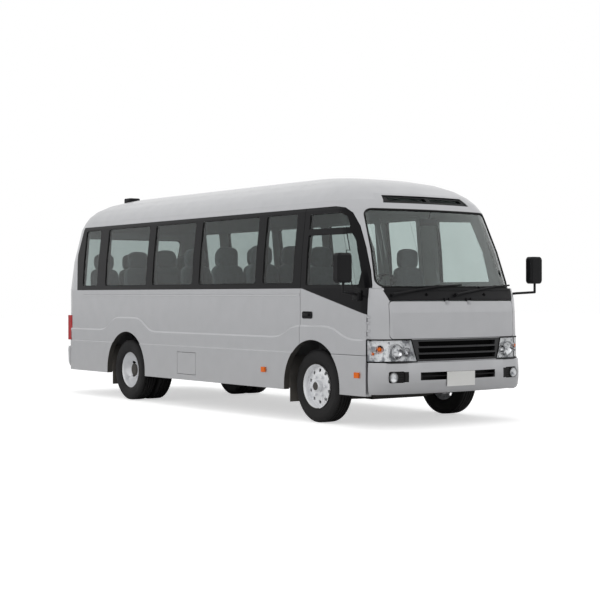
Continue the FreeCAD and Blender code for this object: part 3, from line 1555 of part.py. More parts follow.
# Seats
seat_cushion_height = 440.0
seat_depth = 440.0
seat_width = 430.0
seat_back_height = 690.0
seat_back_thickness = 100.0
seat_back_lean = 120.0
cushion_thickness = 120.0
headrest_width = 250.0
headrest_height = 150.0
row_pitch = 705.0
first_row_x = 1000.0
right_rows = 5
left_rows = 5
bench_x = -2850.0
bench_seats = 4
pair_centre_y = -488.0
single_centre_y = 700.0
front_seat_x = 2010.0
driver_seat_y = -620.0
assistant_seat_y = 600.0


def seat(x, y, base, width=seat_width, headrest=True):
    """One seat from a side profile: cushion, leaning back and narrower headrest; x is the back's foot."""
    top = base + cushion_thickness
    profile = [(x, base), (x + seat_depth + 2 * wall, base), (x + seat_depth + 2 * wall, top),
               (x + seat_back_thickness, top - skin), (x + seat_back_thickness - seat_back_lean,
               top + seat_back_height), (x - seat_back_lean, top + seat_back_height), (x, base + wall)]
    body = side_prism(profile, y - width / 2, y + width / 2)
    if not headrest:
        return body
    head_x = x - seat_back_lean - skin
    block = box(head_x + skin, head_x + seat_back_thickness, y - headrest_width / 2, y + headrest_width / 2,
                top + seat_back_height - skin, top + seat_back_height + headrest_height)
    upright = [e for e in block.Edges if abs(e.Vertexes[0].Z - e.Vertexes[1].Z) > wall]
    return body.fuse(block.makeFillet(skin * 2, upright))


def seat_frame(x, y, width, base, floor_z):
    """Plinth under a seat, down to the floor."""
    return box(x + wall, x + seat_depth, y - width / 2 + wall, y + width / 2 - wall, floor_z, base)


def passenger_seats():
    """Double seats on the right, single seats on the left and a bench across the rear."""
    base = floor_level + seat_cushion_height - cushion_thickness
    solids = []
    half_pair = seat_width / 2 + skin / 4
    for row in range(max(right_rows, left_rows)):
        x = first_row_x - row * row_pitch
        over_wheel = abs(x + seat_depth / 2 - rear_axle_x) < rear_box_half
        foot = rear_box_top + seat_gap if over_wheel else floor_level + seat_gap
        pair = [seat(x, pair_centre_y + s * half_pair, base) for s in (-1, 1)]
        pair.append(seat_frame(x, pair_centre_y, 2 * seat_width, base + skin, foot))
        link = box(x + wall, x + seat_depth, pair_centre_y - wall, pair_centre_y + wall,
                   base, base + 2 * skin)
        solids.append(fused(pair + [link]))
        foot_left = rear_box_top + seat_gap if over_wheel else floor_level + seat_gap
        if x + seat_depth + 2 * wall < entry_rear_x - wall:
            solids.append(fused([seat(x, single_centre_y, base),
                                 seat_frame(x, single_centre_y, seat_width, base + skin, foot_left)]))
    bench = []
    span = seat_width + skin / 4
    for i in range(bench_seats):
        y = (i - (bench_seats - 1) / 2) * span
        bench.append(seat(bench_x, y, base, span - skin / 2))
    half_span = bench_seats * span / 2 - wall
    bench.append(box(bench_x + wall, bench_x + seat_depth, -half_span, half_span,
                     floor_level + seat_gap, base + skin))
    solids.append(fused(bench))
    return joined(solids)


def front_seats():
    """Driver's and assistant's seats on the boxes over the front wheels."""
    solids = []
    for y in (driver_seat_y, assistant_seat_y):
        foot = front_box_top + seat_gap
        base = foot + 2 * wall
        body = seat(front_seat_x, y, base, seat_width + wall)
        solids.append(fused([body, seat_frame(front_seat_x, y, seat_width, base + skin, foot)]))
    return joined(solids)


# Mirrors
mirror_head_x = 3245.0
mirror_inner = 1228.0
mirror_outer = 1408.0
mirror_bottom = 1446.0
mirror_top = 1738.0
mirror_depth = 85.0
mirror_arm_radius = 13.0
mirror_corner = 40.0
mirror_foot_x = 3105.0
mirror_foot_level = 1330.0


def mirror_head():
    """Left mirror head: a rounded shell block, thicker in the middle."""
    block = box(mirror_head_x - mirror_depth / 2, mirror_head_x + mirror_depth / 2, mirror_inner, mirror_outer,
                mirror_bottom, mirror_top)
    along = [e for e in block.Edges if abs(e.Vertexes[0].X - e.Vertexes[1].X) > wall]
    block = block.makeFillet(mirror_corner, along)
    front = [e for e in block.Edges if min(p.X for p in e.Vertexes) > mirror_head_x + mirror_depth / 4]
    return block.makeChamfer(mirror_depth / 4, front)


def arm_path(points, radius):
    pieces = [rod(p, q, radius) for p, q in zip(points, points[1:])]
    pieces += [Part.makeSphere(radius, p) for p in points[1:-1]]
    return pieces


def mirror(foot_y, foot_x, foot_level):
    """Left mirror with its bracket and bent arm from the body's side."""
    middle = (mirror_inner + mirror_outer) / 2
    plate = box(foot_x - wall, foot_x + wall, foot_y, foot_y + skin, foot_level - wall, foot_level + wall)
    path = [V(foot_x, foot_y + skin, foot_level), V(foot_x + wall, foot_y + 2 * wall, foot_level + skin),
            V(mirror_head_x, middle, foot_level + 2 * skin), V(mirror_head_x, middle, mirror_bottom + wall)]
    return fused([plate, mirror_head()] + arm_path(path, mirror_arm_radius))


# Wipers
clip_share = 1.4
blade_share = 0.8
wiper_pivots = [-800.0, -30.0]
wiper_blades = [(-545.0, 75.0), (341.0, 871.0)]
wiper_level = 1415.0
wiper_pivot_level = 1322.0
wiper_radius = 7.0


def screen_x(y, level, out):
    """The skin's X at a place on the front, moved out by a distance."""
    rows = upper_sizes()
    if level <= rows[0][0]:
        low, high = [(h * roof_height, f * half_length, upper_half_width)
                     for h, f in lower_section_shares[-2:]]
        corner, turn = front_corner_radius, front_turn_lower
    else:
        low, high = [(row[0], row[1], row[3]) for row in rows[:2]]
        corner, turn = glass_corner_radius, front_turn_glass
    share = (level - low[0]) / (high[0] - low[0])
    reach = low[1] + share * (high[1] - low[1])
    bow = bow_of(low[2] + share * (high[2] - low[2]), corner, turn)
    return reach - bow + math.sqrt(bow * bow - y * y) + out


def skin_normal(y):
    """Outward direction of the skin under the windscreen, at a place across the front."""
    (low_share, low_front), (high_share, high_front) = lower_section_shares[-2:]
    lean = math.atan2((low_front - high_front) * half_length, (high_share - low_share) * roof_height)
    turn = math.asin(y / bow_of(upper_half_width, front_corner_radius, front_turn_lower))
    return V(math.cos(turn) * math.cos(lean), math.sin(turn) * math.cos(lean), math.sin(lean))


def wipers():
    solids = []
    for pivot, (y0, y1) in zip(wiper_pivots, wiper_blades):
        level = wiper_pivot_level
        foot = V(screen_x(pivot, level, -skin / 2 + 2 * seat_gap), pivot, level)
        head = foot + skin_normal(pivot) * (3 * skin)
        middle = (y0 + y1) / 2
        end = V(screen_x(middle, wiper_level, 2 * skin), middle, wiper_level)
        left = V(screen_x(y0, wiper_level, skin), y0, wiper_level - skin)
        right = V(screen_x(y1, wiper_level, skin), y1, wiper_level + skin)
        centre = V(screen_x(middle, wiper_level, skin), middle, wiper_level)
        clip = V(0, 2 * wiper_radius, 0)
        blade_radius = wiper_radius * blade_share
        pieces = [rod(foot, head, 2 * wiper_radius), rod(head, end, wiper_radius),
                  rod(centre.sub(clip), centre.add(clip), wiper_radius * clip_share),
                  rod(left, centre, blade_radius), rod(centre, right, blade_radius),
                  rod(centre, end, blade_radius)]
        solids.append(fused(pieces))
    return joined(solids)


def main():
    os.makedirs("parts", exist_ok=True)
    shells = Shells()
    save("window_frames", window_frames(shells))
    right, left = side_panels(shells)
    save("right_side_panel", right)
    save("left_side_panel", left)
    save("fuel_lid", fuel_lid(shells))
    save("rear_panel", rear_panel(shells))
    save("rear_window", rear_window(shells))
    save("roof_panel", roof_panel(shells))
    save("front_frame", front_frame(shells))
    save("windscreen", windscreen(shells))
    save("front_lid", front_lid())
    save("cowl_panel", cowl_panel())
    save("rear_lamps", rear_lamps())
    bezels, lamps = fog_lamps()
    save("fog_bezels", joined([bezels.cut(Part.makeCompound(lamps))]))
    save("front_bumper", front_bumper())
    save("rear_bumper", rear_bumper())
    save("grille", grille())
    save("front_lamps", joined([front_lamps()] + lamps))
    save("side_markers", side_markers())
    brow, dome = roof_vents(shells)
    save("roof_vents", joined([brow, dome]))
    save("side_glass", side_glass(shells))
    save("driver_door", driver_door(shells))
    save("driver_door_frame", driver_door_frame(shells))
    save("driver_door_glass", driver_door_glass(shells))
    save("entry_door", entry_door(shells))
    save("entry_door_frame", entry_door_frame(shells))
    save("entry_door_glass", entry_door_glass(shells))
    save("floor", floor())
    save("chassis_frame", chassis_frame())
    save("engine", engine())
    save("rear_axle", rear_axle())
    save("propeller_shaft", propeller_shaft())
    save("front_suspension", front_suspension())
    for name, sign in (("left", 1), ("right", -1)):
        save("knuckle_" + name, knuckle(sign))
    front = placed(front_wheel(), front_axle_x)
    rear = placed(rear_wheels(), rear_axle_x)
    front_tyre = placed(tyre_about(front_rim_outer - rim_width / 2), front_axle_x)
    rear_tyres = joined([placed(tyre_about(y), rear_axle_x) for y in (rear_outer_wheel_y, rear_inner_wheel_y)])
    for name, shape in (("front_wheel", front), ("front_tyre", front_tyre),
                        ("rear_wheels", rear), ("rear_tyres", rear_tyres)):
        save(name + "_left", shape)
        save(name + "_right", mirrored(shape))
    save("fuel_tank", fuel_tank())
    save("exhaust", exhaust())
    save("mud_flaps", mud_flaps())
    save("dashboard", dashboard())
    save("steering_wheel", steering_wheel())
    save("passenger_seats", passenger_seats())
    save("front_seats", front_seats())
    left_mirror = mirror(upper_half_width + seat_gap, mirror_foot_x, mirror_foot_level)
    save("mirror_left", left_mirror)
    save("mirror_right", mirrored(left_mirror))
    save("wipers", wipers())


main()
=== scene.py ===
import math
import bmesh
import bpy
from mathutils import Matrix, Vector


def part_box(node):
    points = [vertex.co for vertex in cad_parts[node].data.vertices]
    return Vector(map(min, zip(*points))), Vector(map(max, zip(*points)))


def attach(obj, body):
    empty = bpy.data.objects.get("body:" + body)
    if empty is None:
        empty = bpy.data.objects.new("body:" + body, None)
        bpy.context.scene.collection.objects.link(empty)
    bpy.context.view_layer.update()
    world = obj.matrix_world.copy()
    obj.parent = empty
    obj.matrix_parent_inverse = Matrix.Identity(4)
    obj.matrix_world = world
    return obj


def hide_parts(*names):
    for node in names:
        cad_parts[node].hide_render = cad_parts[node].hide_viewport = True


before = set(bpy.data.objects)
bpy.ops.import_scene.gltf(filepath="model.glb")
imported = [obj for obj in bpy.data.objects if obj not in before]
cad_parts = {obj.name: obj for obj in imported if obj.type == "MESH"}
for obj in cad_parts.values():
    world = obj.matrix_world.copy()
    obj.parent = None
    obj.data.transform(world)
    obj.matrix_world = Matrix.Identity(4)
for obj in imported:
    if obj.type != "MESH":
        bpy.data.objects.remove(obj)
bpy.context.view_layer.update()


# selecting and editing
def objectMode():
    bpy.ops.object.mode_set(mode="OBJECT")


def editMode():
    bpy.ops.object.mode_set(mode="EDIT")


def clearSelection():
    if bpy.context.object and bpy.context.object.mode != "OBJECT":
        objectMode()
    bpy.ops.object.select_all(action="DESELECT")


def choose(piece):
    clearSelection()
    piece.select_set(True)
    bpy.context.view_layer.objects.active = piece


def editAll(piece):
    choose(piece)
    editMode()
    bpy.ops.mesh.select_all(action="SELECT")


def selectParts(piece, kind, test):
    choose(piece)
    editMode()
    bpy.ops.mesh.select_mode(type=kind)
    bpy.ops.mesh.select_all(action="DESELECT")
    objectMode()
    for part in piece.data.polygons if kind == "FACE" else piece.data.edges:
        part.select = bool(test(part))
    editMode()


def insetFaces(piece, test, *steps):
    selectParts(piece, "FACE", test)
    for thickness, depth in steps:
        bpy.ops.mesh.inset(thickness=thickness, depth=depth)
    objectMode()


def facing(axis, side, share=0.9):
    return lambda face: face.normal[axis] * side > share


# forms
def applyPlace(piece):
    choose(piece)
    bpy.ops.object.transform_apply(location=True, rotation=True, scale=True)


def applyAll(piece):
    choose(piece)
    for modifier in list(piece.modifiers):
        bpy.ops.object.modifier_apply(modifier=modifier.name)


def rounded(piece, width, segments=2, angle=40):
    bevel = piece.modifiers.new("soften", "BEVEL")
    bevel.width = width
    bevel.segments = segments
    bevel.limit_method = "ANGLE"
    bevel.angle_limit = math.radians(angle)
    applyAll(piece)


def thicken(piece, thickness):
    wall = piece.modifiers.new("wall", "SOLIDIFY")
    wall.thickness = thickness
    wall.offset = -1
    applyAll(piece)


def smooth(piece, angle=40):
    choose(piece)
    bpy.ops.object.shade_smooth_by_angle(angle=math.radians(angle))


def joinAll(name, parts):
    clearSelection()
    for part in parts:
        part.select_set(True)
    bpy.context.view_layer.objects.active = parts[0]
    if len(parts) > 1:
        bpy.ops.object.join()
    parts[0].name = name
    return parts[0]


def newCube(name, corner, opposite):
    clearSelection()
    centre = [(a + b) / 2 for a, b in zip(corner, opposite)]
    bpy.ops.mesh.primitive_cube_add(size=1, location=centre)
    piece = bpy.context.object
    piece.name = name
    piece.scale = [abs(b - a) for a, b in zip(corner, opposite)]
    applyPlace(piece)
    return piece


def newSlab(name, side, xs, ys, zs):
    # a block whose y is counted outwards from the middle plane
    return newCube(name, (xs[0], side * ys[0], zs[0]), (xs[1], side * ys[1], zs[1]))


def newRound(name, centre, radius, depth, turn, sides):
    clearSelection()
    bpy.ops.mesh.primitive_cylinder_add(vertices=sides, radius=radius, depth=depth, location=centre,
                                        rotation=turn)
    piece = bpy.context.object
    piece.name = name
    applyPlace(piece)
    return piece


def copyOf(piece, name, shift=(0, 0, 0)):
    twin = bpy.data.objects.new(name, piece.data.copy())
    bpy.context.collection.objects.link(twin)
    twin.data.transform(Matrix.Translation(shift))
    return twin


# where the skin of a piece lies, seen from an end or from a side
casting = {"fromEnd": 6, "endSkin": 3.49, "fromSide": 3, "sideSkin": 1.02}


def surfaceX(piece, y, z, side):
    start = Vector((side * casting["fromEnd"], y, z))
    hit, place, normal, index = piece.ray_cast(start, Vector((-side, 0, 0)))
    return place.x if hit else side * casting["endSkin"]


def surfaceY(piece, x, z, side):
    start = Vector((x, side * casting["fromSide"], z))
    hit, place, normal, index = piece.ray_cast(start, Vector((0, -side, 0)))
    return place.y if hit else side * casting["sideSkin"]


# shared effects as node groups
def newGroup(name, inputs, outputs):
    group = bpy.data.node_groups.new(name, "ShaderNodeTree")
    for label, value in inputs.items():
        socket = group.interface.new_socket(name=label, in_out="INPUT", socket_type="NodeSocketFloat")
        socket.default_value = value
    for label in outputs:
        group.interface.new_socket(name=label, in_out="OUTPUT", socket_type="NodeSocketFloat")
    start = group.nodes.new("NodeGroupInput")
    end = group.nodes.new("NodeGroupOutput")
    return group, start.outputs, end.inputs


def feed(tree, value, socket):
    if isinstance(value, (int, float, tuple)):
        socket.default_value = value
    else:
        tree.links.new(value, socket)


def mathNode(tree, operation, a, b=None):
    node = tree.nodes.new("ShaderNodeMath")
    node.operation = operation
    feed(tree, a, node.inputs[0])
    if b is not None:
        feed(tree, b, node.inputs[1])
    return node.outputs[0]


def noiseNode(tree, vector, scale, detail):
    node = tree.nodes.new("ShaderNodeTexNoise")
    feed(tree, vector, node.inputs["Vector"])
    feed(tree, scale, node.inputs["Scale"])
    node.inputs["Detail"].default_value = detail
    return node.outputs["Fac"]


def splitPlace(tree):
    place = tree.nodes.new("ShaderNodeTexCoord").outputs["Object"]
    split = tree.nodes.new("ShaderNodeSeparateXYZ")
    tree.links.new(place, split.inputs[0])
    return place, split.outputs


def buildRoadDust():
    group, given, result = newGroup("roadDust", {"Amount": 0.3, "Height": 0.9, "Scale": 4.0}, ["Mask"])
    place, split = splitPlace(group)
    share = mathNode(group, "DIVIDE", split["Z"], given["Height"])
    low = mathNode(group, "MAXIMUM", mathNode(group, "SUBTRACT", 1.0, share), 0.0)
    mask = mathNode(group, "MULTIPLY", low, noiseNode(group, place, given["Scale"], 6.0))
    group.links.new(mathNode(group, "MULTIPLY", mask, given["Amount"]), result["Mask"])
    return group


def buildGrain():
    group, given, result = newGroup("mouldedGrain", {"Scale": 400.0, "Coarse": 8.0}, ["Height", "Patch"])
    place = group.nodes.new("ShaderNodeTexCoord").outputs["Object"]
    group.links.new(noiseNode(group, place, given["Scale"], 2.0), result["Height"])
    group.links.new(noiseNode(group, place, given["Coarse"], 4.0), result["Patch"])
    return group


def buildWeave():
    group, given, result = newGroup("clothWeave", {"Threads": 900.0}, ["Height", "Tone"])
    place, split = splitPlace(group)
    across = mathNode(group, "SINE", mathNode(group, "MULTIPLY", split["Y"], given["Threads"]))
    along = mathNode(group, "ADD", split["X"], split["Z"])
    along = mathNode(group, "SINE", mathNode(group, "MULTIPLY", along, given["Threads"]))
    group.links.new(mathNode(group, "MULTIPLY", across, along), result["Height"])
    group.links.new(noiseNode(group, place, 26.0, 5.0), result["Tone"])
    return group


roadDust = buildRoadDust()
mouldedGrain = buildGrain()
clothWeave = buildWeave()
print("stage: shared effects")


# materials
def newMaterial(name, **values):
    material = bpy.data.materials.new(name)
    material.use_nodes = True
    shader = material.node_tree.nodes["Principled BSDF"]
    for label, value in values.items():
        shader.inputs[label.replace("_", " ")].default_value = value
    return material, material.node_tree, shader


def placeGroup(tree, group, **values):
    node = tree.nodes.new("ShaderNodeGroup")
    node.node_tree = group
    for label, value in values.items():
        node.inputs[label].default_value = value
    return node.outputs


def mixColour(tree, factor, first, second):
    node = tree.nodes.new("ShaderNodeMix")
    node.data_type = "RGBA"
    for index, value in ((0, factor), (6, first), (7, second)):
        feed(tree, value, node.inputs[index])
    return node.outputs[2]


def spread(tree, value, low, high, fromLow=0.3, fromHigh=0.7):
    node = tree.nodes.new("ShaderNodeMapRange")
    tree.links.new(value, node.inputs["Value"])
    for label, limit in (("From Min", fromLow), ("From Max", fromHigh), ("To Min", low), ("To Max", high)):
        node.inputs[label].default_value = limit
    return node.outputs["Result"]


def bump(tree, shader, height, strength, distance=0.001):
    node = tree.nodes.new("ShaderNodeBump")
    node.inputs["Strength"].default_value = strength
    node.inputs["Distance"].default_value = distance
    tree.links.new(height, node.inputs["Height"])
    tree.links.new(node.outputs["Normal"], shader.inputs["Normal"])


def shaded(colour, share=1.0):
    return (*(c * share for c in colour), 1.0)


def finishMaterial(name, colour, roughness, metallic=0.0, coat=0.0, dust=0.0, dustHeight=0.9, grain=300.0,
                   relief=0.3, tone=0.08, **extra):
    material, tree, shader = newMaterial(name, Metallic=metallic, Coat_Weight=coat, **extra)
    grainOut = placeGroup(tree, mouldedGrain, Scale=grain, Coarse=6.0)
    shade = mixColour(tree, spread(tree, grainOut["Patch"], 0, 1), shaded(colour), shaded(colour, 1 - tone))
    if dust:
        dustOut = placeGroup(tree, roadDust, Amount=dust, Height=dustHeight, Scale=5.0)
        shade = mixColour(tree, dustOut["Mask"], shade, shaded((0.36, 0.33, 0.29)))
    tree.links.new(shade, shader.inputs["Base Color"])
    uneven = spread(tree, grainOut["Patch"], roughness - 0.03, roughness + 0.03)
    tree.links.new(uneven, shader.inputs["Roughness"])
    bump(tree, shader, grainOut["Height"], relief)
    return material


def glassMaterial(name, tint, bend):
    material, tree, shader = newMaterial(name, Roughness=0.0, IOR=bend, Transmission_Weight=1.0)
    grainOut = placeGroup(tree, mouldedGrain, Scale=90.0, Coarse=3.0)
    shade = mixColour(tree, spread(tree, grainOut["Patch"], 0, 1), shaded(tint), shaded(tint, 0.96))
    tree.links.new(shade, shader.inputs["Base Color"])
    return material


def clothMaterial(name, colour):
    material, tree, shader = newMaterial(name, Roughness=0.9, Sheen_Weight=0.35)
    weave = placeGroup(tree, clothWeave, Threads=1500.0)
    shade = mixColour(tree, spread(tree, weave["Tone"], 0, 1), shaded(colour), shaded(colour, 0.72))
    tree.links.new(shade, shader.inputs["Base Color"])
    bump(tree, shader, weave["Height"], 0.35, 0.0006)
    return material


def paintedReflectionMaterial(name, bright, dark, scale, metallic):
    # painted reflections: broken bright and dark patches in the base colour, as cut reflectors show behind a
    # clear cover
    material, tree, shader = newMaterial(name, Metallic=metallic, Roughness=0.22)
    grainOut = placeGroup(tree, mouldedGrain, Scale=scale, Coarse=scale * 0.6)
    paintedReflectionPatches = spread(tree, grainOut["Patch"], 0.0, 1.0, 0.47, 0.60)
    tree.links.new(mixColour(tree, paintedReflectionPatches, shaded(bright), shaded(dark)), shader.inputs["Base Color"])
    bump(tree, shader, grainOut["Height"], 0.4, 0.002)
    return material


# colour, roughness and what else sets a covering apart
coverings = {
    "silverPaint": ((0.465, 0.47, 0.485), 0.36,
                    dict(metallic=0.72, coat=0.5, dust=0.22, dustHeight=0.8, grain=1600.0, relief=0.02,
                         tone=0.03, Coat_Roughness=0.12)),
    "blackBand": ((0.005, 0.005, 0.006), 0.22, dict(grain=700.0, relief=0.01, Specular_IOR_Level=0.13)),
    "blackPlastic": ((0.008, 0.008, 0.009), 0.50,
                     dict(dust=0.05, grain=650.0, relief=0.2, Specular_IOR_Level=0.18)),
    "sealRubber": ((0.006, 0.006, 0.006), 0.6, dict(grain=500.0, relief=0.15, Specular_IOR_Level=0.2)),
    "redLens": ((0.42, 0.008, 0.012), 0.18, dict(grain=220.0, Specular_IOR_Level=0.25)),
    "amberLens": ((0.80, 0.15, 0.005), 0.20, dict(grain=220.0, Specular_IOR_Level=0.25)),
    "clearLens": ((0.75, 0.76, 0.78), 0.12, dict(coat=1.0, grain=220.0)),
    # near-black: painted shade on the grille's recessed faces, and the washer nozzles' own colour
    "paintedShadeAndNozzleBlack": ((0.002, 0.002, 0.002), 0.7, dict(relief=0.05, Specular_IOR_Level=0.05)),
    "grilleBlack": ((0.022, 0.022, 0.024), 0.42, dict(grain=650.0, relief=0.1, Specular_IOR_Level=0.4)),
    "chrome": ((0.82, 0.83, 0.85), 0.08, dict(metallic=1.0, relief=0.01, tone=0.03)),
    "liningGrey": ((0.42, 0.435, 0.43), 0.8, dict(grain=500.0)),
    "wheelSilver": ((0.84, 0.85, 0.87), 0.30,
                    dict(metallic=0.35, coat=0.3, dust=0.08, dustHeight=1.2, grain=900.0, relief=0.04)),
    "chassisBlack": ((0.014, 0.014, 0.014), 0.62,
                     dict(dust=0.35, dustHeight=1.4, grain=120.0, relief=0.35, tone=0.3,
                          Specular_IOR_Level=0.3)),
    "plainSteel": ((0.30, 0.30, 0.31), 0.45,
                   dict(metallic=0.85, dust=0.7, dustHeight=1.4, grain=150.0, relief=0.25, tone=0.25)),
    "tyreRubber": ((0.007, 0.007, 0.008), 0.66,
                   dict(dust=0.04, grain=260.0, tone=0.25, Specular_IOR_Level=0.25)),
    "flapRubber": ((0.018, 0.018, 0.018), 0.66, dict(dust=0.6, tone=0.25)),
    "greyTrim": ((0.20, 0.205, 0.21), 0.55, dict(grain=700.0, relief=0.2)),
    "floorVinyl": ((0.14, 0.14, 0.145), 0.5, dict(grain=240.0, tone=0.2)),
    "plateWhite": ((0.78, 0.78, 0.76), 0.42, dict(coat=0.2, relief=0.05, tone=0.03)),
}
finishes = {name: finishMaterial(name, colour, roughness, **values)
            for name, (colour, roughness, values) in coverings.items()}
glasses = {"sideGlassTint": ((0.51, 0.565, 0.555), 1.30), "screenGlassTint": ((0.76, 0.84, 0.82), 1.50),
           "lampLens": ((0.98, 0.985, 0.99), 1.08)}
for name, (tint, bend) in glasses.items():
    finishes[name] = glassMaterial(name, tint, bend)
# painted reflections for the lamp housings and mirrors: bright colour, dark colour, patch scale, metallic
paintedReflectionFinishes = {"lampHousing": ((0.86, 0.87, 0.88), (0.30, 0.31, 0.33), 26.0, 0.3),
              "lampMirror": ((0.92, 0.93, 0.94), (0.10, 0.10, 0.11), 34.0, 0.5)}
for name, values in paintedReflectionFinishes.items():
    finishes[name] = paintedReflectionMaterial(name, *values)
finishes["seatCloth"] = clothMaterial("seatCloth", (0.13, 0.145, 0.155))


def complete(piece, finish, body="coach", replaced=()):
    piece.data.materials.clear()
    piece.data.materials.append(finishes[finish])
    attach(piece, body)
    if replaced:
        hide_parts(*replaced)


def gather(name, parts, finish, body="coach"):
    piece = joinAll(name, parts)
    smooth(piece)
    complete(piece, finish, body)


def paintWhere(pieceName, finish, test):
    piece = pieces[pieceName]
    piece.data.materials.append(finishes[finish])
    slot = len(piece.data.materials) - 1
    for face in piece.data.polygons:
        if test(face):
            face.material_index = slot


print("stage: materials")


# camera, floor and light
view = {"place": (13.680, -9.484, 1.330), "azimuth": 53.77, "elevation": 0.22, "roll": -0.08, "lens": 81.84,
        "film": 36, "far": 300}
clearSelection()
bpy.ops.object.camera_add(location=view["place"])
camera = bpy.context.object
camera.name = "photoCamera"
azimuth, elevation = math.radians(view["azimuth"]), math.radians(view["elevation"])
level = math.cos(elevation)
back = Vector((math.sin(azimuth) * level, -math.cos(azimuth) * level, math.sin(elevation)))
roll = Matrix.Rotation(math.radians(view["roll"]), 3, "Z")
camera.rotation_euler = ((-back).to_track_quat("-Z", "Y").to_matrix() @ roll).to_euler()
camera.data.lens = view["lens"]
camera.data.sensor_width = view["film"]
camera.data.clip_end = view["far"]
bpy.context.scene.camera = camera
bpy.context.scene.view_settings.view_transform = "Standard"

studio = {"worldFill": 0.55, "floorSize": 120, "floorDrop": 0.0005, "floorColour": 0.80, "floorLift": 0.55,
          "aim": (0, 0, 1.2)}
studioLamps = {"keyLamp": ((9.5, -10.5, 8.5), 320, 10), "sideLamp": ((-6.0, -12.0, 6.0), 220, 6),
               "topLamp": ((0, 0, 10), 320, 8)}
clearSelection()
bpy.ops.mesh.primitive_plane_add(size=studio["floorSize"], location=(0, 0, -studio["floorDrop"]))
floor = bpy.context.object
floor.name = "studioFloor"
applyPlace(floor)
floorMaterial, floorTree, floorShader = newMaterial("studioFloorPaint", Roughness=0.9)
floorShader.inputs["Base Color"].default_value = shaded((1, 1, 1), studio["floorColour"])
rays = floorTree.nodes.new("ShaderNodeLightPath").outputs
lift = mathNode(floorTree, "MULTIPLY", rays["Is Camera Ray"], studio["floorLift"])
floorTree.links.new(lift, floorShader.inputs["Emission Strength"])
floorShader.inputs["Emission Color"].default_value = shaded((1, 1, 1))
floor.data.materials.append(floorMaterial)

world = bpy.data.worlds.new("studioWorld")
bpy.context.scene.world = world
world.use_nodes = True
worldTree = world.node_tree
backdrop = worldTree.nodes["Background"]
backdrop.inputs["Color"].default_value = shaded((1, 1, 1))
rays = worldTree.nodes.new("ShaderNodeLightPath").outputs
seen = mathNode(worldTree, "MAXIMUM", rays["Is Camera Ray"], rays["Is Transmission Ray"])
seen = mathNode(worldTree, "MAXIMUM", seen, rays["Is Glossy Ray"])
worldTree.links.new(spread(worldTree, seen, studio["worldFill"], 1.0, 0.0, 1.0), backdrop.inputs["Strength"])

for name, (place, power, size) in studioLamps.items():
    clearSelection()
    bpy.ops.object.light_add(type="AREA", location=place)
    lamp = bpy.context.object
    lamp.name = name
    lamp.data.energy = power
    lamp.data.size = size
    lamp.rotation_euler = (Vector(studio["aim"]) - Vector(place)).to_track_quat("-Z", "Y").to_euler()
    lamp.visible_glossy = False
print("stage: camera and light")


# the CAD pieces: merged, their pressed creases rounded over, smoothed and painted
cleaning = {"merge": 0.00002, "flat": 0.3, "weight": 80, "leaning": 0.6}
smoothing = {"pane": 1, "tyre": 28, "cad": 35, "strip": 50, "cloth": 60}
creased = {"names": ("rightSidePanel", "leftSidePanel", "driverDoor", "entryDoor", "frontFrame", "frontLid"),
           "width": 0.014, "low": 6, "high": 50, "upright": 0.6, "skin": 0.995}
mouth = {"half": 0.511, "levels": (0.477, 0.557), "front": 3.38, "bezel": (0.649, 0.700),
         "bezelLevels": (0.4635, 0.5665)}
screenStrip = {"levels": (1.3716, 1.4026), "half": 0.868, "front": 3.2}
axles = {"front": (2.345, 0.380), "rear": (-1.590, 0.380)}


def acrossAt(*levels):
    return [((0, 0, level), (0, 0, 1)) for level in levels]


def alongAt(*places):
    return [((0, side * y, 0), (0, 1, 0)) for y in places for side in (1, -1)]


# edges cut into a piece where its colour changes
colourSeams = {"frontFrame": acrossAt(*screenStrip["levels"]) + alongAt(screenStrip["half"]),
               "frontBumper": acrossAt(0.4640, 0.4775, 0.5565, 0.5660) + alongAt(0.510, 0.650)}


def softenCreases(piece):
    measured = bmesh.new()
    measured.from_mesh(piece.data)
    wanted = set()
    for edge in measured.edges:
        if len(edge.link_faces) == 2:
            angle = math.degrees(edge.calc_face_angle(0))
            outer = all(abs(face.normal.y) > creased["upright"]
                        and abs(face.calc_center_median().y) > creased["skin"] for face in edge.link_faces)
            if outer and creased["low"] < angle < creased["high"]:
                wanted.add(edge.index)
    measured.free()
    selectParts(piece, "EDGE", lambda edge: edge.index in wanted)
    if wanted:
        bpy.ops.mesh.bevel(offset=creased["width"], segments=3, clamp_overlap=True)
    objectMode()


def straightenNormals(piece):
    # a corner whose normal leans far from its own face takes the face's
    normals = [Vector(corner.vector) for corner in piece.data.corner_normals]
    for face in piece.data.polygons:
        for index in face.loop_indices:
            if normals[index].dot(face.normal) < cleaning["leaning"]:
                normals[index] = face.normal.copy()
    piece.data.normals_split_custom_set(normals)


def pieceNameOf(node):
    first, *others = node.split("_")
    return renamed.get(node, first + "".join(word.capitalize() for word in others))


def dress(node, finish):
    pieceName = pieceNameOf(node)
    piece = copyOf(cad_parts[node], pieceName)
    editAll(piece)
    bpy.ops.mesh.remove_doubles(threshold=cleaning["merge"])
    bpy.ops.mesh.dissolve_limited(angle_limit=math.radians(cleaning["flat"]))
    for place, normal in colourSeams.get(pieceName, ()):
        bpy.ops.mesh.select_all(action="SELECT")
        bpy.ops.mesh.bisect(plane_co=place, plane_no=normal)
    objectMode()
    if pieceName in creased["names"]:
        softenCreases(piece)
    smooth(piece, smoothing["pane" if "Glass" in finish else "cad"])
    weighted = piece.modifiers.new("weighted", "WEIGHTED_NORMAL")
    weighted.keep_sharp = True
    weighted.weight = cleaning["weight"]
    applyAll(piece)
    straightenNormals(piece)
    complete(piece, finish, riders.get(node, node if node in movingNodes else "coach"), (node,))
    return piece


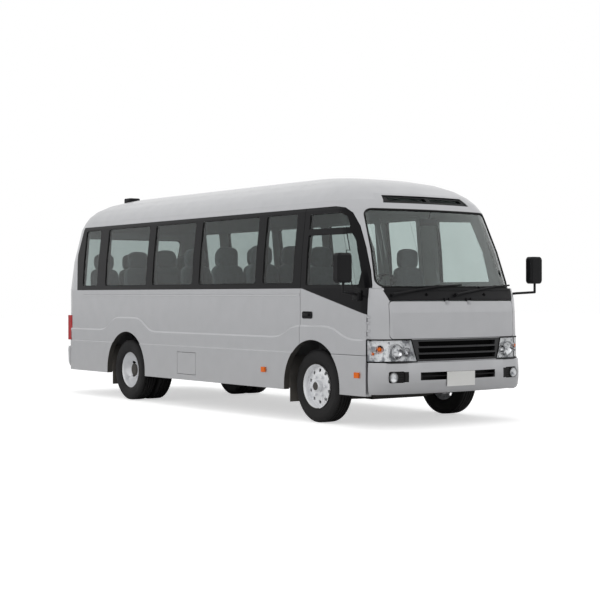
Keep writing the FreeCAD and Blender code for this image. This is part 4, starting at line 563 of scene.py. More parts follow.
# what covers each node, in the order of the record
covered = {
    "window_frames": "blackBand", "right_side_panel": "silverPaint", "left_side_panel": "silverPaint",
    "fuel_lid": "silverPaint", "rear_panel": "silverPaint", "rear_window": "sideGlassTint",
    "roof_panel": "silverPaint", "front_frame": "silverPaint", "windscreen": "screenGlassTint",
    "front_lid": "silverPaint", "cowl_panel": "blackPlastic", "rear_lamps": "redLens",
    "fog_bezels": "blackPlastic", "front_bumper": "silverPaint", "rear_bumper": "silverPaint",
    "grille": "grilleBlack", "front_lamps": "lampLens", "side_markers": "amberLens",
    "roof_vents": "blackPlastic", "side_glass": "sideGlassTint", "driver_door": "silverPaint",
    "driver_door_frame": "blackBand", "driver_door_glass": "sideGlassTint", "entry_door": "silverPaint",
    "entry_door_frame": "blackBand", "entry_door_glass": "sideGlassTint", "floor": "floorVinyl",
    "chassis_frame": "chassisBlack", "engine": "plainSteel", "rear_axle": "chassisBlack",
    "propeller_shaft": "plainSteel", "front_suspension": "chassisBlack", "knuckle_left": "plainSteel",
    "knuckle_right": "plainSteel", "front_wheel_left": "wheelSilver", "front_wheel_right": "wheelSilver",
    "rear_wheels_left": "wheelSilver", "rear_wheels_right": "wheelSilver", "fuel_tank": "chassisBlack",
    "exhaust": "plainSteel", "mud_flaps": "flapRubber", "dashboard": "greyTrim",
    "steering_wheel": "blackPlastic", "mirror_left": "blackPlastic", "mirror_right": "blackPlastic",
    "wipers": "blackPlastic"}
renamed = {"floor": "cabinFloor", "engine": "engineBlock", "exhaust": "exhaustPipe", "grille": "grilleBars",
           "dashboard": "dashboardMoulding", "steering_wheel": "steeringWheelRim", "wipers": "wiperArms"}
movingNodes = ("fuel_lid", "front_lid", "driver_door", "entry_door", "steering_wheel", "knuckle_left",
               "knuckle_right", "front_wheel_left", "front_wheel_right", "rear_wheels_left",
               "rear_wheels_right")
riders = {"driver_door_frame": "driver_door", "driver_door_glass": "driver_door",
          "mirror_right": "driver_door", "entry_door_frame": "entry_door", "entry_door_glass": "entry_door"}
pieces = {pieceNameOf(node): dress(node, finish) for node, finish in covered.items()}


# the edges turned in round the wheels are black, as the arch behind them
arch = {"reach": 0.575, "upright": 0.5}


def inArch(face):
    near = min(math.hypot(face.center.x - x, face.center.z - z) for x, z in axles.values())
    return near < arch["reach"] and abs(face.normal.y) < arch["upright"]


for pieceName in ("rightSidePanel", "leftSidePanel", "driverDoor", "entryDoor"):
    paintWhere(pieceName, "chassisBlack", inArch)
print("stage: shell pieces dressed")


# tyres
tyre = {"steps": 112, "blockFoot": 0.3735, "blockHeight": 0.0032, "sipe": 0.0013,
        "profile": [(-0.074, 0.2235), (-0.088, 0.2265), (-0.099, 0.255), (-0.1035, 0.292), (-0.1025, 0.318),
                    (-0.1032, 0.323), (-0.0985, 0.345), (-0.092, 0.361), (-0.083, 0.3725), (-0.079, 0.3745),
                    (-0.056, 0.3755), (-0.054, 0.3660), (-0.048, 0.3660), (-0.046, 0.3758), (-0.020, 0.3762),
                    (-0.018, 0.3660), (-0.012, 0.3660), (-0.010, 0.3762)],
        "places": {"FrontLeft": ("front_wheel_left", "front_tyre_left", "front", [0.866]),
                   "FrontRight": ("front_wheel_right", "front_tyre_right", "front", [-0.866]),
                   "RearLeft": ("rear_wheels_left", "rear_tyres_left", "rear", [0.893, 0.657]),
                   "RearRight": ("rear_wheels_right", "rear_tyres_right", "rear", [-0.893, -0.657])}}


def growLine(name, points):
    # one vertex drawn on along the points, for a spin
    clearSelection()
    bpy.ops.mesh.primitive_plane_add(size=0.01, location=(0, 0, 0))
    line = bpy.context.object
    line.name = name
    editMode()
    bpy.ops.mesh.select_mode(type="VERT")
    bpy.ops.mesh.select_all(action="SELECT")
    bpy.ops.mesh.merge(type="CENTER")
    bpy.ops.transform.translate(value=points[0])
    for before, after in zip(points, points[1:]):
        step = tuple(b - a for a, b in zip(before, after))
        bpy.ops.mesh.extrude_region_move(TRANSFORM_OT_translate={"value": step})
    objectMode()
    return line


def spinLine(name, points, steps):
    piece = growLine(name, points)
    editAll(piece)
    bpy.ops.mesh.spin(steps=steps, angle=2 * math.pi, center=(0, 0, 0), axis=(0, 1, 0))
    bpy.ops.mesh.select_all(action="SELECT")
    bpy.ops.mesh.remove_doubles(threshold=cleaning["merge"])
    bpy.ops.mesh.normals_make_consistent(inside=False)
    objectMode()
    return piece


def makeTyre():
    half = tyre["profile"]
    points = [(0, y, r) for y, r in half] + [(0, -y, r) for y, r in reversed(half)]
    piece = spinLine("tyreShape", points, tyre["steps"])
    selectParts(piece, "FACE", lambda face: math.hypot(face.center.x, face.center.z) > tyre["blockFoot"])
    bpy.ops.mesh.inset(thickness=tyre["sipe"], depth=tyre["blockHeight"], use_individual=True)
    objectMode()
    smooth(piece, smoothing["tyre"])
    return piece


tyreShape = makeTyre()
for corner, (body, node, axle, rows) in tyre["places"].items():
    axleX, axleZ = axles[axle]
    rings = [copyOf(tyreShape, "ring", (axleX, y, axleZ)) for y in rows]
    complete(joinAll("tyre" + corner, rings), "tyreRubber", body, (node,))
bpy.data.objects.remove(tyreShape)
print("stage: tyres")


# wheel nuts, and hubs dark in the middle
nuts = {"circle": 0.104, "count": 6, "radius": 0.0165, "height": 0.016, "soft": 0.003, "hubDepth": 0.01,
        "front": {"face": 0.9415, "hub": 0.040}, "rear": {"face": 0.848, "hub": 0.075}}


def makeNuts(corner, body, axle, side):
    axleX, axleZ = axles[axle]
    parts = []
    for index in range(nuts["count"]):
        angle = 2 * math.pi * index / nuts["count"]
        place = (axleX + nuts["circle"] * math.cos(angle), side * nuts[axle]["face"],
                 axleZ + nuts["circle"] * math.sin(angle))
        nut = newRound("nut", place, nuts["radius"], nuts["height"], (math.pi / 2, 0, 0), 6)
        rounded(nut, nuts["soft"])
        parts.append(nut)
    gather("wheelNuts" + corner, parts, "chrome", body)


def inHub(face, axle, side):
    axleX, axleZ = axles[axle]
    reach = math.hypot(face.center.x - axleX, face.center.z - axleZ)
    return reach < nuts[axle]["hub"] and face.center.y * side > nuts[axle]["face"] - nuts["hubDepth"]


for corner, (body, node, axle, rows) in tyre["places"].items():
    side = 1 if "Left" in corner else -1
    makeNuts(corner, body, axle, side)
    wheelName = corner.replace("Front", "frontWheel").replace("Rear", "rearWheels")
    paintWhere(wheelName, "chassisBlack", lambda face: inHub(face, axle, side))
print("stage: wheel nuts")


# rubber seals round the panes
seals = {"windscreen": ("coach", 0.013), "sideGlass": ("coach", 0.006), "rearWindow": ("coach", 0.010),
         "driverDoorGlass": ("driver_door", 0.006), "entryDoorGlass": ("entry_door", 0.006)}
bodyEnds = {"front": 2.9, "frontLean": 0.2, "rear": -3.0, "rearLean": 0.1}


def outwardOf(point):
    # from the middle of the coach's plan outwards
    if point.x > bodyEnds["front"]:
        return Vector((1, 0, bodyEnds["frontLean"]))
    if point.x < bodyEnds["rear"]:
        return Vector((-1, 0, bodyEnds["rearLean"]))
    return Vector((0, 1 if point.y > 0 else -1, 0))


def makeSeal(pieceName, body, thickness, outward=outwardOf, foot=0.0, share=0.5):
    ring = copyOf(pieces[pieceName], pieceName + "Seal")
    selectParts(ring, "FACE", lambda face: face.center.z > foot
                and face.normal.dot(outward(face.center).normalized()) > share)
    bpy.ops.mesh.select_all(action="INVERT")
    bpy.ops.mesh.delete(type="FACE")
    bpy.ops.mesh.select_all(action="SELECT")
    bpy.ops.mesh.select_mode(type="EDGE")
    bpy.ops.mesh.region_to_loop()
    bpy.ops.mesh.select_all(action="INVERT")
    bpy.ops.mesh.delete(type="EDGE_FACE")
    objectMode()
    bpy.ops.object.convert(target="CURVE")
    ring.data.bevel_depth = thickness
    ring.data.bevel_resolution = 2
    bpy.ops.object.convert(target="MESH")
    smooth(ring, smoothing["strip"])
    complete(ring, "sealRubber", body)


for pieceName, (body, thickness) in seals.items():
    makeSeal(pieceName, body, thickness)
print("stage: seals")


# number plates, bare
plates = {"width": 0.380, "height": 0.148, "thickness": 0.005, "rim": (0.006, 0), "press": (0.002, -0.0015),
          "soft": 0.0012, "across": (-0.45, -0.2, 0, 0.2, 0.45), "up": (-0.5, -0.25, 0, 0.25, 0.5),
          "places": [("frontPlate", 0.481, 1, "frontBumper"), ("rearPlate", 0.560, -1, "rearBumper")]}


def makePlate(name, level, side, carrier):
    width, height = plates["width"], plates["height"]
    outer = max(surfaceX(pieces[carrier], y * width, level + z * height, side) * side
                for y in plates["across"] for z in plates["up"])
    plate = newCube(name, (side * outer, -width / 2, level - height / 2),
                    (side * (outer + plates["thickness"]), width / 2, level + height / 2))
    insetFaces(plate, facing(0, side), plates["rim"], plates["press"])
    rounded(plate, plates["soft"], 2, 30)
    smooth(plate, smoothing["cad"])
    complete(plate, "plateWhite")


for place in plates["places"]:
    makePlate(*place)
print("stage: plates")


# belt mouldings along both sides
belt = {"levels": (1.316, 1.346), "y": (1.0195, 1.023), "rim": (0.005, 0.0),
        "press": (0.003, -0.002), "soft": 0.0015,
        "runs": [("Right", -1, -2.772, 2.120, "coach"), ("LeftRear", 1, -2.772, 1.130, "coach"),
                 ("EntryDoor", 1, 1.150, 1.828, "entry_door"), ("LeftFront", 1, 1.850, 2.900, "coach")]}


def makeMoulding(name, side, rear, front, body):
    strip = newSlab("beltMoulding" + name, side, (rear, front), belt["y"], belt["levels"])
    insetFaces(strip, facing(1, side), belt["rim"], belt["press"])
    rounded(strip, belt["soft"], 2, 30)
    smooth(strip, smoothing["strip"])
    complete(strip, "silverPaint", body)


for run in belt["runs"]:
    makeMoulding(*run)
print("stage: belt mouldings")


# door handles
handles = {"height": 0.076, "corner": 0.022, "sunk": 0.002, "thick": 0.006, "proud": 0.024,
           "rim": (0.010, 0.0), "dish": (0.004, -0.0045), "plateSoft": 0.003,
           "pullEnds": (0.018, 0.045), "pullLow": 0.014, "pullHigh": 0.018, "pullFoot": 0.004,
           "taper": (0.86, 1, 0.75), "pullSoft": 0.006,
           "lockInset": 0.026, "lockRadius": 0.011, "lockDepth": 0.010, "lockSoft": 0.002,
           "places": [("driverDoorHandle", -1, 2.168, 2.344, 1.119, "driver_door", "driverDoor"),
                      ("entryDoorHandle", 1, 1.205, 1.365, 1.117, "entry_door", "entryDoor")]}


def roundUpright(piece, radius):
    # the four outer corners of a plate, on the edges that run through its thickness
    reach = [pick(vertex.co.x for vertex in piece.data.vertices) for pick in (min, max)]

    def atCorner(edge):
        a, b = (piece.data.vertices[index].co for index in edge.vertices)
        return abs(a.y - b.y) > handles["sunk"] and min(abs(a.x - x) for x in reach) < cleaning["merge"]

    selectParts(piece, "EDGE", atCorner)
    bpy.ops.mesh.bevel(offset=radius, segments=5)
    objectMode()


def makeHandle(name, side, rear, front, level, body, carrier):
    h = handles
    skin = abs(surfaceY(pieces[carrier], (rear + front) / 2, level, side))
    half = h["height"] / 2
    plate = newSlab("plate", side, (rear, front), (skin - h["sunk"], skin + h["thick"]),
                    (level - half, level + half))
    insetFaces(plate, facing(1, side), h["rim"], h["dish"])
    roundUpright(plate, h["corner"])
    rounded(plate, h["plateSoft"], 2, 50)
    pull = newSlab("pull", side, (rear + h["pullEnds"][0], front - h["pullEnds"][1]),
                   (skin + h["pullFoot"], skin + h["proud"]), (level - h["pullLow"], level + h["pullHigh"]))
    selectParts(pull, "FACE", facing(1, side))
    bpy.ops.transform.resize(value=h["taper"], center_override=((rear + front) / 2, side * skin, level))
    objectMode()
    rounded(pull, h["pullSoft"], 3)
    lock = newRound("lock", (front - h["lockInset"], side * (skin + h["pullFoot"]), level), h["lockRadius"],
                    h["lockDepth"], (math.pi / 2, 0, 0), 24)
    rounded(lock, h["lockSoft"])
    gather(name, [plate, pull, lock], "blackPlastic", body)


for place in handles["places"]:
    makeHandle(*place)
print("stage: handles")


# splash sheets between the arches' rear edges and the mud flaps
splash = {"y": (0.9655, 0.9692), "z": (0.336, 0.683), "x": [(1.792, 1.8755), (-2.142, -2.0645)]}
sheets = [newSlab("sheet", side, ends, splash["y"], splash["z"]) for side in (-1, 1) for ends in splash["x"]]
complete(joinAll("splashSheets", sheets), "flapRubber")
print("stage: splash sheets")


# thicker wiper arms and blades
swell = pieces["wiperArms"].modifiers.new("swell", "DISPLACE")
swell.strength = 0.004
swell.mid_level = 0
applyAll(pieces["wiperArms"])

# painted shade in the grille's gaps, the lid's hinges in body colour, the black foot of the screen and the
# bumper's mouth
grille = {"levels": (0.665, 0.675, 0.865, 0.872), "depth": 0.012, "facing": 0.5}
hingeTop = 1.270


def between(value, limits):
    return limits[0] < value < limits[1]


# painted shade: the grille's forward faces that lie deep behind the bars
def inPaintedShadeGap(face):
    outer = max(surfaceX(pieces["grilleBars"], face.center.y, z, 1) for z in grille["levels"])
    return face.normal.x > grille["facing"] and face.center.x < outer - grille["depth"]


def onHinge(face):
    corners = pieces["cowlPanel"].data.vertices
    return max(corners[index].co.z for index in face.vertices) < hingeTop


def inStrip(face):
    return (between(face.center.z, screenStrip["levels"]) and abs(face.center.y) < screenStrip["half"]
            and face.center.x > screenStrip["front"])


def inMouth(face):
    across, level = abs(face.center.y), face.center.z
    atBezel = face.center.x > mouth["front"] and between(across, mouth["bezel"])
    inside = across < mouth["half"] and between(level, mouth["levels"])
    return inside or (atBezel and between(level, mouth["bezelLevels"]))


# painted shade: near-black on the grille's recessed faces
paintWhere("grilleBars", "paintedShadeAndNozzleBlack", inPaintedShadeGap)
paintWhere("cowlPanel", "silverPaint", onHinge)
paintWhere("frontFrame", "blackPlastic", inStrip)
paintWhere("frontBumper", "blackPlastic", inMouth)

# washer nozzles on the cowl
nozzles = {"y": 0.395, "z": 1.327, "radius": 0.012, "depth": 0.010, "reach": 0.019, "half": 0.0055,
           "sunk": 0.003, "proud": 0.006, "soft": 0.002}
nozzleParts = []
for side in (-1, 1):
    y, z = side * nozzles["y"], nozzles["z"]
    x = surfaceX(pieces["cowlPanel"], y, z, 1)
    nozzleParts.append(newRound("nozzle", (x, y, z), nozzles["radius"], nozzles["depth"],
                                (0, math.pi / 2, 0), 24))
    reach, half = nozzles["reach"], nozzles["half"]
    for across, tall in ((reach, half), (half, reach)):
        nozzleParts.append(newCube("arm", (x - nozzles["sunk"], y - across, z - tall),
                                   (x + nozzles["proud"], y + across, z + tall)))
for part in nozzleParts:
    rounded(part, nozzles["soft"])
gather("washerNozzles", nozzleParts, "paintedShadeAndNozzleBlack")
print("stage: cowl and mouth")


# head lamps: thin clear covers over bright housings, their reflections painted in as bright and dark patches
lamps = {"cover": 0.0025, "wall": 0.0015, "foot": 0.600, "gasket": 0.007, "behind": 0.008, "outward": 0.45,
         "corner": {"x": 3.36, "y": 0.9, "forward": 0.35, "bend": 0.75, "share": 3},
         "bowls": [(0.760, 0.763, 0.068), (0.652, 0.758, 0.040)], "bowlDepth": 0.034, "ring": (1.06, 0.004),
         "bulb": 0.011, "bulbBack": 0.020, "bulbStretch": 1.6,
         "amberBack": 0.4, "amberShare": 0.6, "amberStretch": 0.9,
         "ambers": [((3.328, 0.930, 0.790), 0.036, 1.1, 0.020, (0.82, 0.57)),
                    ((3.278, 0.976, 0.745), 0.020, 1.0, 0.014, (0.35, 0.94))]}


def lampOutward(point):
    side = 1 if point.y > 0 else -1
    corner = lamps["corner"]
    if point.x < corner["x"] and abs(point.y) > corner["y"]:
        return Vector((corner["forward"], side, 0)).normalized()
    return Vector((1, side * max(0, abs(point.y) - corner["bend"]) * corner["share"], 0)).normalized()


def splitLamps():
    source = pieces.pop("frontLamps")
    cover = copyOf(source, "lampCovers")
    housing = copyOf(source, "lampHousings")
    for piece, keepOutward in ((cover, True), (housing, False)):
        selectParts(piece, "FACE", lambda face: face.center.z < lamps["foot"]
                    or (face.normal.dot(lampOutward(face.center)) > lamps["outward"]) != keepOutward)
        bpy.ops.mesh.delete(type="FACE")
        objectMode()
        thicken(piece, lamps["cover"] if keepOutward else lamps["wall"])
        smooth(piece, smoothing["cad"])
    bpy.data.objects.remove(source)
    complete(cover, "lampLens", replaced=("front_lamps",))
    # the housings carry painted reflections
    complete(housing, "lampHousing")
    return cover


def turnTo(piece, fromAxis, aim, place, shift=(0, 0, 0)):
    turn = Vector(fromAxis).rotation_difference(aim).to_matrix().to_4x4()
    piece.data.transform(Matrix.Translation(place) @ turn @ Matrix.Translation(shift))
    return piece


dish = {"middle": 0.002, "steps": 24, "wall": 0.0012,
        "shares": [(0, 0.18), (0.10, 0.45), (0.35, 0.72), (0.75, 0.93), (1, 1), (0.98, 1.05)]}


def makeBowl(rim, depth, radius, aim):
    # a dished reflector opening along aim
    points = [(0, 0, dish["middle"])] + [(0, depth * deep, radius * wide) for deep, wide in dish["shares"]]
    bowl = spinLine("bowl", points, dish["steps"])
    thicken(bowl, dish["wall"])
    return turnTo(bowl, (0, 1, 0), aim, rim, (0, -depth, 0))


def makeBulb(place, radius, stretch, aim):
    clearSelection()
    bpy.ops.mesh.primitive_uv_sphere_add(segments=20, ring_count=12, radius=radius, location=(0, 0, 0))
    bulb = bpy.context.object
    editAll(bulb)
    bpy.ops.transform.resize(value=(1, stretch, 1), center_override=(0, 0, 0))
    objectMode()
    return turnTo(bulb, (0, 1, 0), aim, place)


def makeRing(place, radius, thickness, aim):
    clearSelection()
    bpy.ops.mesh.primitive_torus_add(major_radius=radius, minor_radius=thickness, major_segments=48,
                                     minor_segments=10)
    return turnTo(bpy.context.object, (0, 0, 1), aim, place)


ahead = Vector((1, 0, 0))


def fillLamps():
    bowls, bulbs, ambers, rings = [], [], [], []
    for side in (-1, 1):
        for y, z, radius in lamps["bowls"]:
            behind = min(surfaceX(lampCovers, side * (y + share * radius), z, 1) for share in (0, 0.9))
            place = Vector((behind - lamps["behind"], side * y, z))
            bowls.append(makeBowl(place, lamps["bowlDepth"], radius, ahead))
            rings.append(makeRing(place, radius * lamps["ring"][0], lamps["ring"][1], ahead))
            bulbPlace = place - ahead * lamps["bulbBack"]
            bulbs.append(makeBulb(bulbPlace, lamps["bulb"], lamps["bulbStretch"], ahead))
        for (x, y, z), radius, wider, depth, (forward, outward) in lamps["ambers"]:
            aim = Vector((forward, side * outward, 0)).normalized()
            place = Vector((x, side * y, z))
            bowls.append(makeBowl(place, depth, radius * wider, aim))
            ambers.append(makeBulb(place - aim * depth * lamps["amberBack"], radius * lamps["amberShare"],
                                   lamps["amberStretch"], aim))
    # the bowls carry painted reflections
    gather("lampBowls", bowls, "lampMirror")
    gather("lampBulbs", bulbs, "clearLens")
    gather("turnBulbs", ambers, "amberLens")
    gather("lampRings", rings, "greyTrim")


makeSeal("frontLamps", "coach", lamps["gasket"], lampOutward, lamps["foot"])
lampCovers = splitLamps()
fillLamps()
print("stage: head lamps")


# fog lamps with louvres beside them, and the dark panel behind the bumper's mouth
fog = {"y": 0.823, "z": 0.511, "radius": 0.046, "front": 3.418, "depth": 0.014, "ring": 0.0045,
       "lensBack": 0.004, "lensStretch": 0.2, "ringShare": 0.6, "tubeShare": 1.2, "tubeBack": 0.021,
       "tubeDepth": 0.038, "tubeHollow": 0.017, "lip": 0.001,
       "louvres": (0.476, 0.500, 0.524, 0.548), "louvreSpan": (0.700, 0.762), "louvreHalf": 0.0035,
       "louvreDepth": 0.010, "louvreProud": 0.002,
       "panelLow": (3.372, -0.600, 0.462), "panelHigh": (3.378, 0.600, 0.572)}


def makeLouvre(side, level):
    start, end = [Vector((surfaceX(pieces["fogBezels"], side * y, level, 1), side * y, level))
                  + ahead * fog["louvreProud"] for y in fog["louvreSpan"]]
    along = end - start
    clearSelection()
    bpy.ops.mesh.primitive_cube_add(size=1, location=(0, 0, 0))
    bar = bpy.context.object
    bar.data.transform(Matrix.Diagonal((along.length, fog["louvreDepth"], fog["louvreHalf"] * 2, 1)))
    turnTo(bar, (1, 0, 0), along, (start + end) / 2)
    rounded(bar, fog["louvreHalf"] * 0.5)
    return bar


def makeFogLamps():
    bowls, lenses, rings, blacks = [], [], [], []
    for side in (-1, 1):
        place = Vector((fog["front"], side * fog["y"], fog["z"]))
        bowls.append(makeBowl(place, fog["depth"], fog["radius"], ahead))
        rings.append(makeRing(place, fog["radius"] + fog["ring"] * fog["ringShare"], fog["ring"], ahead))
        lenses.append(makeBulb(place - ahead * fog["lensBack"], fog["radius"], fog["lensStretch"], ahead))
        wide = fog["radius"] + fog["ring"] * fog["tubeShare"]
        tube = newRound("tube", place - ahead * fog["tubeBack"], wide, fog["tubeDepth"], (0, math.pi / 2, 0), 48)
        insetFaces(tube, facing(0, 1), (fog["ring"], 0), (fog["lip"], -fog["tubeHollow"]))
        blacks += [tube] + [makeLouvre(side, level) for level in fog["louvres"]]
    blacks.append(newCube("mouthPanel", fog["panelLow"], fog["panelHigh"]))
    # the fog bowls carry painted reflections
    gather("fogBowls", bowls, "lampHousing")
    gather("fogLenses", lenses, "lampLens")
    gather("fogRings", rings, "greyTrim")
    gather("bumperBlacks", blacks, "blackPlastic")


makeFogLamps()
print("stage: fog lamps")


# tail lamps in three fields, carried on round the corner
tail = {"amber": (0.880, 0.960), "clear": (0.800, 0.880), "x": (-3.226, -3.118), "y": (1.02, 1.03),
        "z": (0.724, 1.058), "sunk": 0.002, "proud": 0.004, "cuts": 5, "soft": 0.002}


def makeTailSide(side, panel):
    lens = newSlab("lens", side, tail["x"], tail["y"], tail["z"])
    editAll(lens)
    bpy.ops.mesh.subdivide(number_cuts=tail["cuts"])
    objectMode()
    middle = sum(tail["y"]) / 2
    for vertex in lens.data.vertices:
        skin = surfaceY(pieces[panel], vertex.co.x, vertex.co.z, side)
        vertex.co.y = skin + side * (tail["proud"] if abs(vertex.co.y) > middle else -tail["sunk"])
    rounded(lens, tail["soft"], 2, 50)
    return lens


for seam, plane in acrossAt(tail["clear"][0], *tail["amber"]):
    editAll(pieces["rearLamps"])
    bpy.ops.mesh.bisect(plane_co=seam, plane_no=plane)
    objectMode()
paintWhere("rearLamps", "amberLens", lambda face: between(face.center.z, tail["amber"]))
paintWhere("rearLamps", "clearLens", lambda face: between(face.center.z, tail["clear"]))
gather("tailLampSides", [makeTailSide(-1, "rightSidePanel"), makeTailSide(1, "leftSidePanel")], "redLens")
print("stage: tail lamps")


# mirror glass
mirrors = {"width": 0.140, "height": 0.232, "thickness": 0.004, "sunk": 0.001, "y": 1.318, "z": 1.592,
           "behind": 2.5, "usualX": 3.2, "corner": 0.028, "soft": 0.001,
           "places": [("mirrorGlassLeft", 1, "coach", "mirrorLeft"),
                      ("mirrorGlassRight", -1, "driver_door", "mirrorRight")]}


def makeMirrorGlass(name, side, body, head):
    y, z = side * mirrors["y"], mirrors["z"]
    hit, place, normal, index = pieces[head].ray_cast(Vector((mirrors["behind"], y, z)), ahead)
    x = place.x if hit else mirrors["usualX"]
    half, tall = mirrors["width"] / 2, mirrors["height"] / 2
    glass = newCube(name, (x - mirrors["thickness"], y - half, z - tall),
                    (x + mirrors["sunk"], y + half, z + tall))
    corners = glass.data.vertices
    selectParts(glass, "EDGE", lambda edge: abs(corners[edge.vertices[0]].co.x
                                                - corners[edge.vertices[1]].co.x) > mirrors["thickness"] / 2)
    bpy.ops.mesh.bevel(offset=mirrors["corner"], segments=6)
    objectMode()
    rounded(glass, mirrors["soft"], 1, 50)
    smooth(glass)
    complete(glass, "chrome", body)


for place in mirrors["places"]:
    makeMirrorGlass(*place)
print("stage: mirror glass")


# clamps at the feet of the mirror arms
clamps = {"x": (3.062, 3.150), "z": (1.272, 1.352), "middle": (3.105, 1.310), "sunk": 0.002, "proud": 0.044,
          "soft": 0.012, "places": [("mirrorClampLeft", 1, "coach", "leftSidePanel"),
                                    ("mirrorClampRight", -1, "driver_door", "driverDoor")]}
for name, side, body, carrier in clamps["places"]:
    skin = abs(surfaceY(pieces[carrier], *clamps["middle"], side))
    clamp = newSlab(name, side, clamps["x"], (skin - clamps["sunk"], skin + clamps["proud"]), clamps["z"])
    rounded(clamp, clamps["soft"], 3)
    smooth(clamp)
    complete(clamp, "blackPlastic", body)
print("stage: mirror clamps")


# seats: padded cushions, backs and headrests on plinths
seat = {"half": 0.212, "top": 1.170, "cushionX": (0.010, 0.520), "cushionThick": 0.130,
        "backX": (-0.004, 0.105), "backFoot": 0.03, "backTall": 0.520, "headX": (0.004, 0.096),
        "headHalf": 0.145, "headTall": 0.200, "lean": 0.092, "channel": 0.006, "plainTall": 0.840,
        "panelShare": 0.55, "panelRear": 0.10, "panelTop": 0.80, "panelFacing": 0.7,
        "cushionPad": (7, 0.16), "backPad": (7, 0.14), "headPad": (5, 0.2)}
rows = {"first": 1.000, "pitch": 0.705, "count": 5, "pairY": -0.488, "pairHalf": 0.218, "pairWidth": 0.86,
        "singleY": 0.700, "singleWidth": 0.43, "door": 0.55, "bench": -2.850, "benchSeats": 4,
        "benchSpan": 0.433, "benchTrim": 0.1}
plinth = {"x": (0.06, 0.43), "inset": 0.05, "top": 1.046, "floor": 0.7305, "wheelBox": 0.9855, "middle": 0.22,
          "boxHalf": 0.52, "soft": 0.012, "shellX": (-0.012, 0.006), "shellInset": 0.03,
          "shellZ": (1.00, 1.20), "shellSoft": 0.006}
frontSeats = {"x": 2.010, "y": (-0.620, 0.600), "boxX": (2.06, 2.44), "boxHalf": 0.19, "boxTall": 0.13,
              "lift": 0.0005, "soft": 0.012}


def pad(name, low, high, cuts, crown):
    # a closed pad: cut fine, swollen from its middle, with its welt line pulled in
    piece = newCube(name, low, high)
    editAll(piece)
    bpy.ops.mesh.subdivide(number_cuts=cuts)
    objectMode()
    centre = [(a + b) / 2 for a, b in zip(low, high)]
    half = [(b - a) / 2 for a, b in zip(low, high)]
    for vertex in piece.data.vertices:
        share = [(vertex.co[i] - centre[i]) / half[i] for i in range(3)]
        for i in range(3):
            others = [abs(share[j]) for j in range(3) if j != i]
            fall = (1 - others[0] ** 4) * (1 - others[1] ** 4)
            vertex.co[i] = centre[i] + half[i] * share[i] * (1 - crown + crown * fall)
    return piece


def makeSeatShape():
    half, top, tall = seat["half"], seat["top"], seat["backTall"]
    grooves = (seat["channel"], -seat["channel"]), (seat["channel"], seat["channel"])
    (x0, x1), (x2, x3), (x4, x5) = seat["cushionX"], seat["backX"], seat["headX"]
    panelHalf, panelTop = half * seat["panelShare"], top + tall * seat["panelTop"]
    upward, forward = facing(2, 1, seat["panelFacing"]), facing(0, 1, seat["panelFacing"])
    cushion = pad("cushion", (x0, -half, top - seat["cushionThick"]), (x1, half, top), *seat["cushionPad"])
    insetFaces(cushion, lambda face: upward(face) and abs(face.center.y) < panelHalf
               and face.center.x > seat["panelRear"], *grooves)
    back = pad("back", (x2, -half, top - seat["backFoot"]), (x3, half, top + tall), *seat["backPad"])
    insetFaces(back, lambda face: forward(face) and abs(face.center.y) < panelHalf
               and face.center.z < panelTop, *grooves)
    head = pad("head", (x4, -seat["headHalf"], top + tall - seat["backFoot"]),
               (x5, seat["headHalf"], top + tall + seat["headTall"]), *seat["headPad"])
    for part in (back, head):
        for vertex in part.data.vertices:
            vertex.co.x -= seat["lean"] / tall * min(max(vertex.co.z - top, 0), tall)
    for part in (cushion, back, head):
        soft = part.modifiers.new("soft", "SUBSURF")
        soft.levels = 1
        applyAll(part)
    shape = joinAll("seatShape", [cushion, back, head])
    smooth(shape, smoothing["cloth"])
    return shape


def placeCushions(name, shape, places, node):
    cushions = joinAll(name, [copyOf(shape, "seat", place) for place in places])
    complete(cushions, "seatCloth", replaced=(node,))


def makePlinth(x, y, width):
    over = abs(x + plinth["middle"] - axles["rear"][0]) < plinth["boxHalf"]
    half = width / 2 - plinth["inset"]
    foot = newSlab("plinth", 1, [x + end for end in plinth["x"]], (y - half, y + half),
                   (plinth["wheelBox"] if over else plinth["floor"], plinth["top"]))
    rounded(foot, plinth["soft"])
    half = width / 2 - plinth["shellInset"]
    shell = newSlab("backShell", 1, [x + end for end in plinth["shellX"]], (y - half, y + half),
                    plinth["shellZ"])
    rounded(shell, plinth["shellSoft"])
    return [foot, shell]


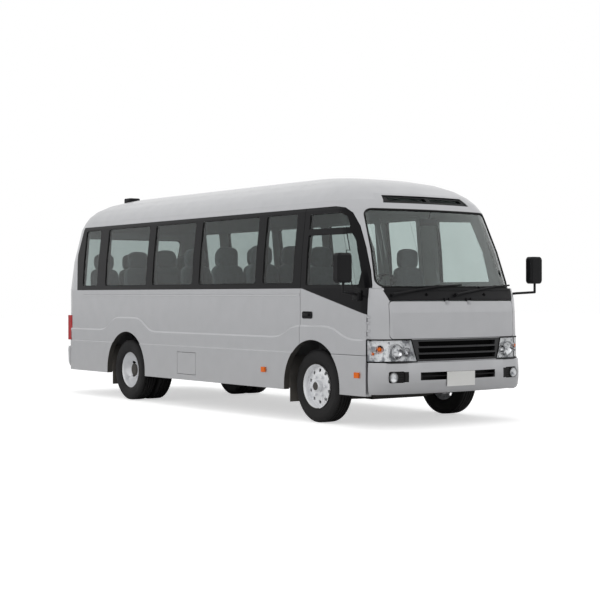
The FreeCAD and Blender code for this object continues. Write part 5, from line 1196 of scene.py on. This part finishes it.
def placeSeats():
    shape = makeSeatShape()
    places, feet = [], []
    for row in range(rows["count"]):
        x = rows["first"] - row * rows["pitch"]
        places += [(x, rows["pairY"] + side * rows["pairHalf"], 0) for side in (-1, 1)]
        feet.append((x, rows["pairY"], rows["pairWidth"]))
        if x < rows["door"]:
            places.append((x, rows["singleY"], 0))
            feet.append((x, rows["singleY"], rows["singleWidth"]))
    middle = (rows["benchSeats"] - 1) / 2
    places += [(rows["bench"], (index - middle) * rows["benchSpan"], 0) for index in range(rows["benchSeats"])]
    feet.append((rows["bench"], 0, rows["benchSeats"] * rows["benchSpan"] - rows["benchTrim"]))
    placeCushions("passengerCushions", shape, places, "passenger_seats")
    gather("seatPlinths", [part for foot in feet for part in makePlinth(*foot)], "blackPlastic")
    low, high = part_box("front_seats")
    lift = high[2] - seat["top"] - seat["plainTall"]
    placeCushions("frontCushions", shape, [(frontSeats["x"], y, lift) for y in frontSeats["y"]], "front_seats")
    boxes = []
    for y in frontSeats["y"]:
        box = newSlab("box", 1, frontSeats["boxX"], (y - frontSeats["boxHalf"], y + frontSeats["boxHalf"]),
                      (low[2] + frontSeats["lift"], low[2] + frontSeats["boxTall"]))
        rounded(box, frontSeats["soft"])
        boxes.append(box)
    gather("frontSeatBoxes", boxes, "blackPlastic")
    bpy.data.objects.remove(shape)


placeSeats()
print("stage: seats")


# inside lining: the walls' inner faces in grey trim
lining = {"middle": 1.45, "skin": 0.98, "belt": 1.39, "facing": 0.5,
          "names": ("roofPanel", "windowFrames", "rearPanel", "driverDoorFrame", "entryDoorFrame",
                    "driverDoor", "entryDoor", "rightSidePanel", "leftSidePanel")}


def facesInside(face):
    inward = Vector((0, -face.center.y, lining["middle"] - face.center.z)).normalized()
    outerSkin = abs(face.center.y) > lining["skin"] and face.center.z < lining["belt"]
    return not outerSkin and face.material_index == 0 and face.normal.dot(inward) > lining["facing"]


for pieceName in lining["names"]:
    paintWhere(pieceName, "liningGrey", facesInside)
print("stage: lining")


# inside mirror on the windscreen header
insideMirror = {"place": (2.955, 0.045, 2.085), "half": (0.015, 0.120, 0.0375), "soft": 0.010,
                "stemShift": (0.02, 0, 0.09), "stemRadius": 0.007, "stemTall": 0.12, "stemLean": 0.3}
place, half = Vector(insideMirror["place"]), Vector(insideMirror["half"])
mirrorCase = newCube("insideMirror", place - half, place + half)
rounded(mirrorCase, insideMirror["soft"], 3)
stem = newRound("stem", place + Vector(insideMirror["stemShift"]), insideMirror["stemRadius"],
                insideMirror["stemTall"], (0, insideMirror["stemLean"], 0), 16)
gather("insideMirror", [mirrorCase, stem], "blackPlastic")
